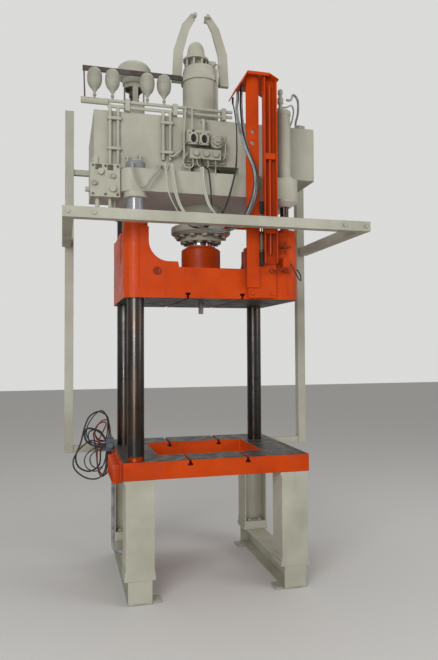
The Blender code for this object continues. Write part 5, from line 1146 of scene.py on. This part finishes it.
# %% Port flanges, screws and plugs
BLOCK_FACE = -0.258
FLANGE_THICK = 0.016
FLANGE_HALF = (0.033, 0.041)
FLANGE_HEIGHT = 2.968
FLANGE_FRONT = BLOCK_FACE - FLANGE_THICK
FLANGE_EDGE = 0.002
PORT_DROP = 0.002
PORT_RADIUS = 0.0175
PORT_STRETCH = 1.6
SCREW_APART = (0.025, 0.032)
SCREW_RADIUS = 0.0048
HEAD_THICK = 0.006
for number, x in enumerate((-0.134, -0.060)):
    low = (x - FLANGE_HALF[0], FLANGE_FRONT, FLANGE_HEIGHT - FLANGE_HALF[1])
    high = (x + FLANGE_HALF[0], BLOCK_FACE + SET_IN, FLANGE_HEIGHT + FLANGE_HALF[1])
    shape_bar(f"port_flange_{number + 1}", low, high, FLANGE_EDGE, *CREAM_ON_FRAME)
    place = (x, FLANGE_FRONT + SUNK, FLANGE_HEIGHT - PORT_DROP)
    shape_disc(f"port_plug_{number + 1}", place, PORT_RADIUS, HEAD_THICK, "-Y", *PLASTIC_ON_FRAME,
               sides=24, rim=0.3, taller=PORT_STRETCH)
    for corner in range(4):
        side = (1 if corner % 2 else -1, 1 if corner // 2 else -1)
        place = (x + side[0] * SCREW_APART[0], FLANGE_FRONT + SUNK, FLANGE_HEIGHT + side[1] * SCREW_APART[1])
        shape_disc(f"port_screw_{number + 1}_{corner + 1}", place, SCREW_RADIUS, HEAD_THICK, "-Y",
                   *STEEL_ON_FRAME, sides=12, rim=0.4)
shape_disc("green_plug", (-0.132, BLOCK_FACE + SUNK, 3.0205), 0.0085, 0.007, "-Y",
           green_cap, "black_rubber", FIXED_BODY, sides=12)
SOLENOID = (0.034, 2.964)
SOLENOID_FACE = -0.253
SOLENOID_RING = 0.0322
for count in range(6):
    turn = math.pi * (count + 0.5) / 3
    place = (SOLENOID[0] + SOLENOID_RING * math.cos(turn), SOLENOID_FACE + SUNK,
             SOLENOID[1] + SOLENOID_RING * math.sin(turn))
    shape_disc(f"solenoid_screw_{count + 1}", place, 0.0036, 0.005, "-Y", *STEEL_ON_FRAME, sides=6, rim=0.4)
PLUG_FACE = -0.182
PLUG_LENGTH = 0.016
MANIFOLD_PLUGS = ((0.082, 3.020, 0.012), (0.084, 2.925, 0.010), (-0.010, 2.926, 0.010),
                  (0.085, 2.868, 0.011), (-0.172, 2.925, 0.009))
for number, (x, z, radius) in enumerate(MANIFOLD_PLUGS):
    shape_disc(f"manifold_plug_{number + 1}", (x, PLUG_FACE, z), radius, PLUG_LENGTH, "-Y",
               *CREAM_ON_FRAME, sides=6, rim=0.35)
print("two flanges, six solenoid screws and", len(MANIFOLD_PLUGS), "plugs ready")

# %% [markdown]
# ## Tubes round the manifold
# Short bent tubes leave the manifold above and below, and loop back into it or run to the crown. Quarter
# rings would make them look machined. They are bent by hand like the loose pipes, so the same helper lays
# them.

# %% Tubes round the manifold
TUBES = (
    ("stub_tube", 0.024, (
        (-0.050, -0.215, 3.028), (-0.050, -0.215, 3.080), (-0.050, -0.208, 3.112), (-0.050, -0.186, 3.124),
        (-0.050, -0.160, 3.125))),
    ("feed_tube", 0.012, (
        (-0.130, -0.215, 3.028), (-0.130, -0.215, 3.120), (-0.130, -0.215, 3.170), (-0.130, -0.206, 3.198),
        (-0.130, -0.186, 3.203))),
    ("bend_tube_1", 0.010, (
        (-0.149, -0.212, 2.885), (-0.172, -0.222, 2.872), (-0.196, -0.238, 2.822), (-0.188, -0.252, 2.780),
        (-0.156, -0.258, 2.768), (-0.132, -0.250, 2.792), (-0.128, -0.222, 2.843))),
    ("bend_tube_2", 0.010, (
        (-0.098, -0.222, 2.843), (-0.098, -0.232, 2.810), (-0.082, -0.262, 2.778), (-0.052, -0.268, 2.772),
        (-0.028, -0.250, 2.792), (-0.024, -0.222, 2.843))),
    ("bend_tube_3", 0.010, (
        (0.078, -0.182, 2.996), (0.080, -0.204, 2.996), (0.098, -0.218, 2.972), (0.102, -0.219, 2.910),
        (0.096, -0.214, 2.872), (0.078, -0.202, 2.850), (0.062, -0.200, 2.856))),
    ("bend_tube_4", 0.008, (
        (0.030, -0.220, 2.843), (0.030, -0.232, 2.806), (0.008, -0.300, 2.752), (-0.012, -0.386, 2.728),
        (-0.020, -0.410, 2.712), (-0.020, -0.418, 2.690))),
)
for name, diameter, points in TUBES:
    pipe(name, points, diameter, *CREAM_ON_FRAME)
print("tubes:", len(TUBES))

# %% [markdown]
# ## Screws, ports and shade patches of the side valve
# The valve block at the crown's left end is held by six socket screws and has two hexagonal ports. Two small
# dark bars are painted shade where the block has recesses. Real sockets would be a few millimetres deep and
# never seen, so the step in each boss stands for them.

# %% Side valve
VALVE_FACE = -0.360
VALVE_SCREWS = ((-0.792, 2.712), (-0.640, 2.712), (-0.792, 2.534), (-0.640, 2.534),
                (-0.716, 2.712), (-0.716, 2.534))
VALVE_PORTS = ((-0.785, 2.600), (-0.672, 2.650))
VALVE_SHADE_PATCHES = ((-0.778, -0.738), (-0.704, -0.668))
SHADE_PATCH_LOW = 2.686
SHADE_PATCH_HIGH = 2.722
SHADE_PATCH_PROUD = 0.0012
SHADE_PATCH_SUNK = 0.004
SHADE_PATCH_EDGE = 0.0005
for number, (x, z) in enumerate(VALVE_SCREWS):
    shape_disc(f"side_valve_screw_{number + 1}", (x, VALVE_FACE + SUNK, z), 0.0075, 0.008, "-Y",
               *STEEL_ON_FRAME, sides=12, rim=0.4)
for number, (x, z) in enumerate(VALVE_PORTS):
    shape_disc(f"side_valve_port_{number + 1}", (x, VALVE_FACE + SUNK, z), 0.017, 0.022, "-Y",
               *CREAM_ON_FRAME, sides=6, rim=0.3)
# Painted shade: two flat dark bars stand for the block's shaded recesses.
for number, (left, right) in enumerate(VALVE_SHADE_PATCHES):
    shape_bar(f"side_valve_shade_patch_{number + 1}", (left, VALVE_FACE - SHADE_PATCH_PROUD, SHADE_PATCH_LOW),
              (right, VALVE_FACE + SHADE_PATCH_SUNK, SHADE_PATCH_HIGH), SHADE_PATCH_EDGE,
              olive_painted_shade, "cream_paint", FIXED_BODY)
print("side valve screws:", len(VALVE_SCREWS))

# %% [markdown]
# ## Switches and spring rod on the mast
# Two dark limit switches sit on the mast above and below the spring, which hangs from a thin rod between two
# steel ends. Buttons and cable glands could be added, but the switches are only two centimetres wide. Plain
# bevelled bars and bosses are enough. They ride on the slide's body, as the mast does.

# %% Mast switches
SWITCHES = (("mast_switch_1", 0.264, 0.286, 2.100, 2.190), ("mast_switch_2", 0.263, 0.287, 2.440, 2.520))
SWITCH_FRONT = -0.474
SWITCH_BACK = -0.450
SWITCH_EDGE = 0.003
CAP_RADIUS = 0.0115
ROD_HALF = 0.003
ROD_FOOT = 2.310
ROD_HEAD = 2.442
ROD_EDGE = 0.001
for name, left, right, foot, head in SWITCHES:
    shape_bar(name, (left, SWITCH_FRONT, foot), (right, SWITCH_BACK, head), SWITCH_EDGE, *PLASTIC_ON_SLIDE)
for name, z, height in (("spring_cap", 2.190, 0.016), ("spring_head", 2.299, 0.014)):
    shape_disc(name, (SPRING_X, SPRING_Y, z), CAP_RADIUS, height, "+Z", *STEEL_ON_SLIDE, sides=12, rim=0.3)
shape_bar("spring_rod", (SPRING_X - ROD_HALF, SPRING_Y - ROD_HALF, ROD_FOOT),
          (SPRING_X + ROD_HALF, SPRING_Y + ROD_HALF, ROD_HEAD), ROD_EDGE, *STEEL_ON_SLIDE)
print("mast switches ready")

# %% [markdown]
# ## Floor
# A plain pale plane takes the machine's shadow. It lies half a millimetre low, so that it never fights with
# the undersides of the runners.

# %% Floor
FLOOR_SIZE = 40.0
FLOOR_DROP = 0.0005
FLOOR_COLOUR = (0.62, 0.61, 0.59, 1.0)
deselect()
bpy.ops.mesh.primitive_plane_add(size=FLOOR_SIZE, location=(0.0, 0.0, -FLOOR_DROP))
floor = bpy.context.object
floor.name = "floor"
floor_finish, tree, shader = start_finish("floor_finish", 0.75)
shader.inputs["Base Color"].default_value = FLOOR_COLOUR
floor.data.materials.append(floor_finish)
print("floor of", FLOOR_SIZE, "m")

# %% [markdown]
# ## Lights
# The part is judged on its own colours, so the light is soft: one wide lamp from the front left, a weaker one
# from the right, one from above, and an even world. Round metal needs something to mirror, so a tall strip
# beside the key lamp shows only as a streak on it. The world is brighter for the camera and for mirrors than
# for the surfaces it lights, which keeps the backdrop pale and the shadows deep.

# %% Lights
AIM = (0.0, 0.0, 1.8)
STRIP_SIZE = (0.6, 3.0)
BACKDROP_COLOUR = (0.80, 0.80, 0.79, 1.0)
WORLD_LIGHT = 0.46
WORLD_SEEN = 0.88


def soft_lamp(name, place, aim, size, watts):
    """A square area lamp that faces a point."""
    data = bpy.data.lights.new(name, "AREA")
    data.shape = "SQUARE"
    data.size = size
    data.energy = watts
    lamp = bpy.data.objects.new(name, data)
    lamp.location = place
    lamp.rotation_euler = (Vector(aim) - Vector(place)).to_track_quat("-Z", "Y").to_euler()
    bpy.context.scene.collection.objects.link(lamp)
    return lamp


soft_lamp("key_lamp", (-3.2, -5.0, 3.2), AIM, 3.0, 200)
soft_lamp("fill_lamp", (4.5, -3.5, 3.0), AIM, 3.0, 95)
soft_lamp("top_lamp", (0.0, 0.5, 6.5), (0.0, 0.0, 2.0), 3.0, 60)
strip = soft_lamp("strip_lamp", (-2.2, -3.9, 2.3), (-0.2, 0.0, 1.8), STRIP_SIZE[0], 150)
strip.data.shape = "RECTANGLE"
strip.data.size_y = STRIP_SIZE[1]
strip.visible_diffuse = False
world = bpy.data.worlds.new("studio")
world.use_nodes = True
tree = world.node_tree
backdrop = tree.nodes["Background"]
backdrop.inputs["Color"].default_value = BACKDROP_COLOUR
rays = add_node(tree, "ShaderNodeLightPath").outputs
mirrored = arithmetic(tree, "MAXIMUM", rays["Is Glossy Ray"], rays["Is Transmission Ray"])
seen = arithmetic(tree, "MAXIMUM", rays["Is Camera Ray"], mirrored)
tree.links.new(spread(tree, seen, 0.0, 1.0, WORLD_LIGHT, WORLD_SEEN), backdrop.inputs["Strength"])
bpy.context.scene.world = world
bpy.context.scene.view_settings.view_transform = "Standard"
print("lamps:", len(bpy.data.lights))
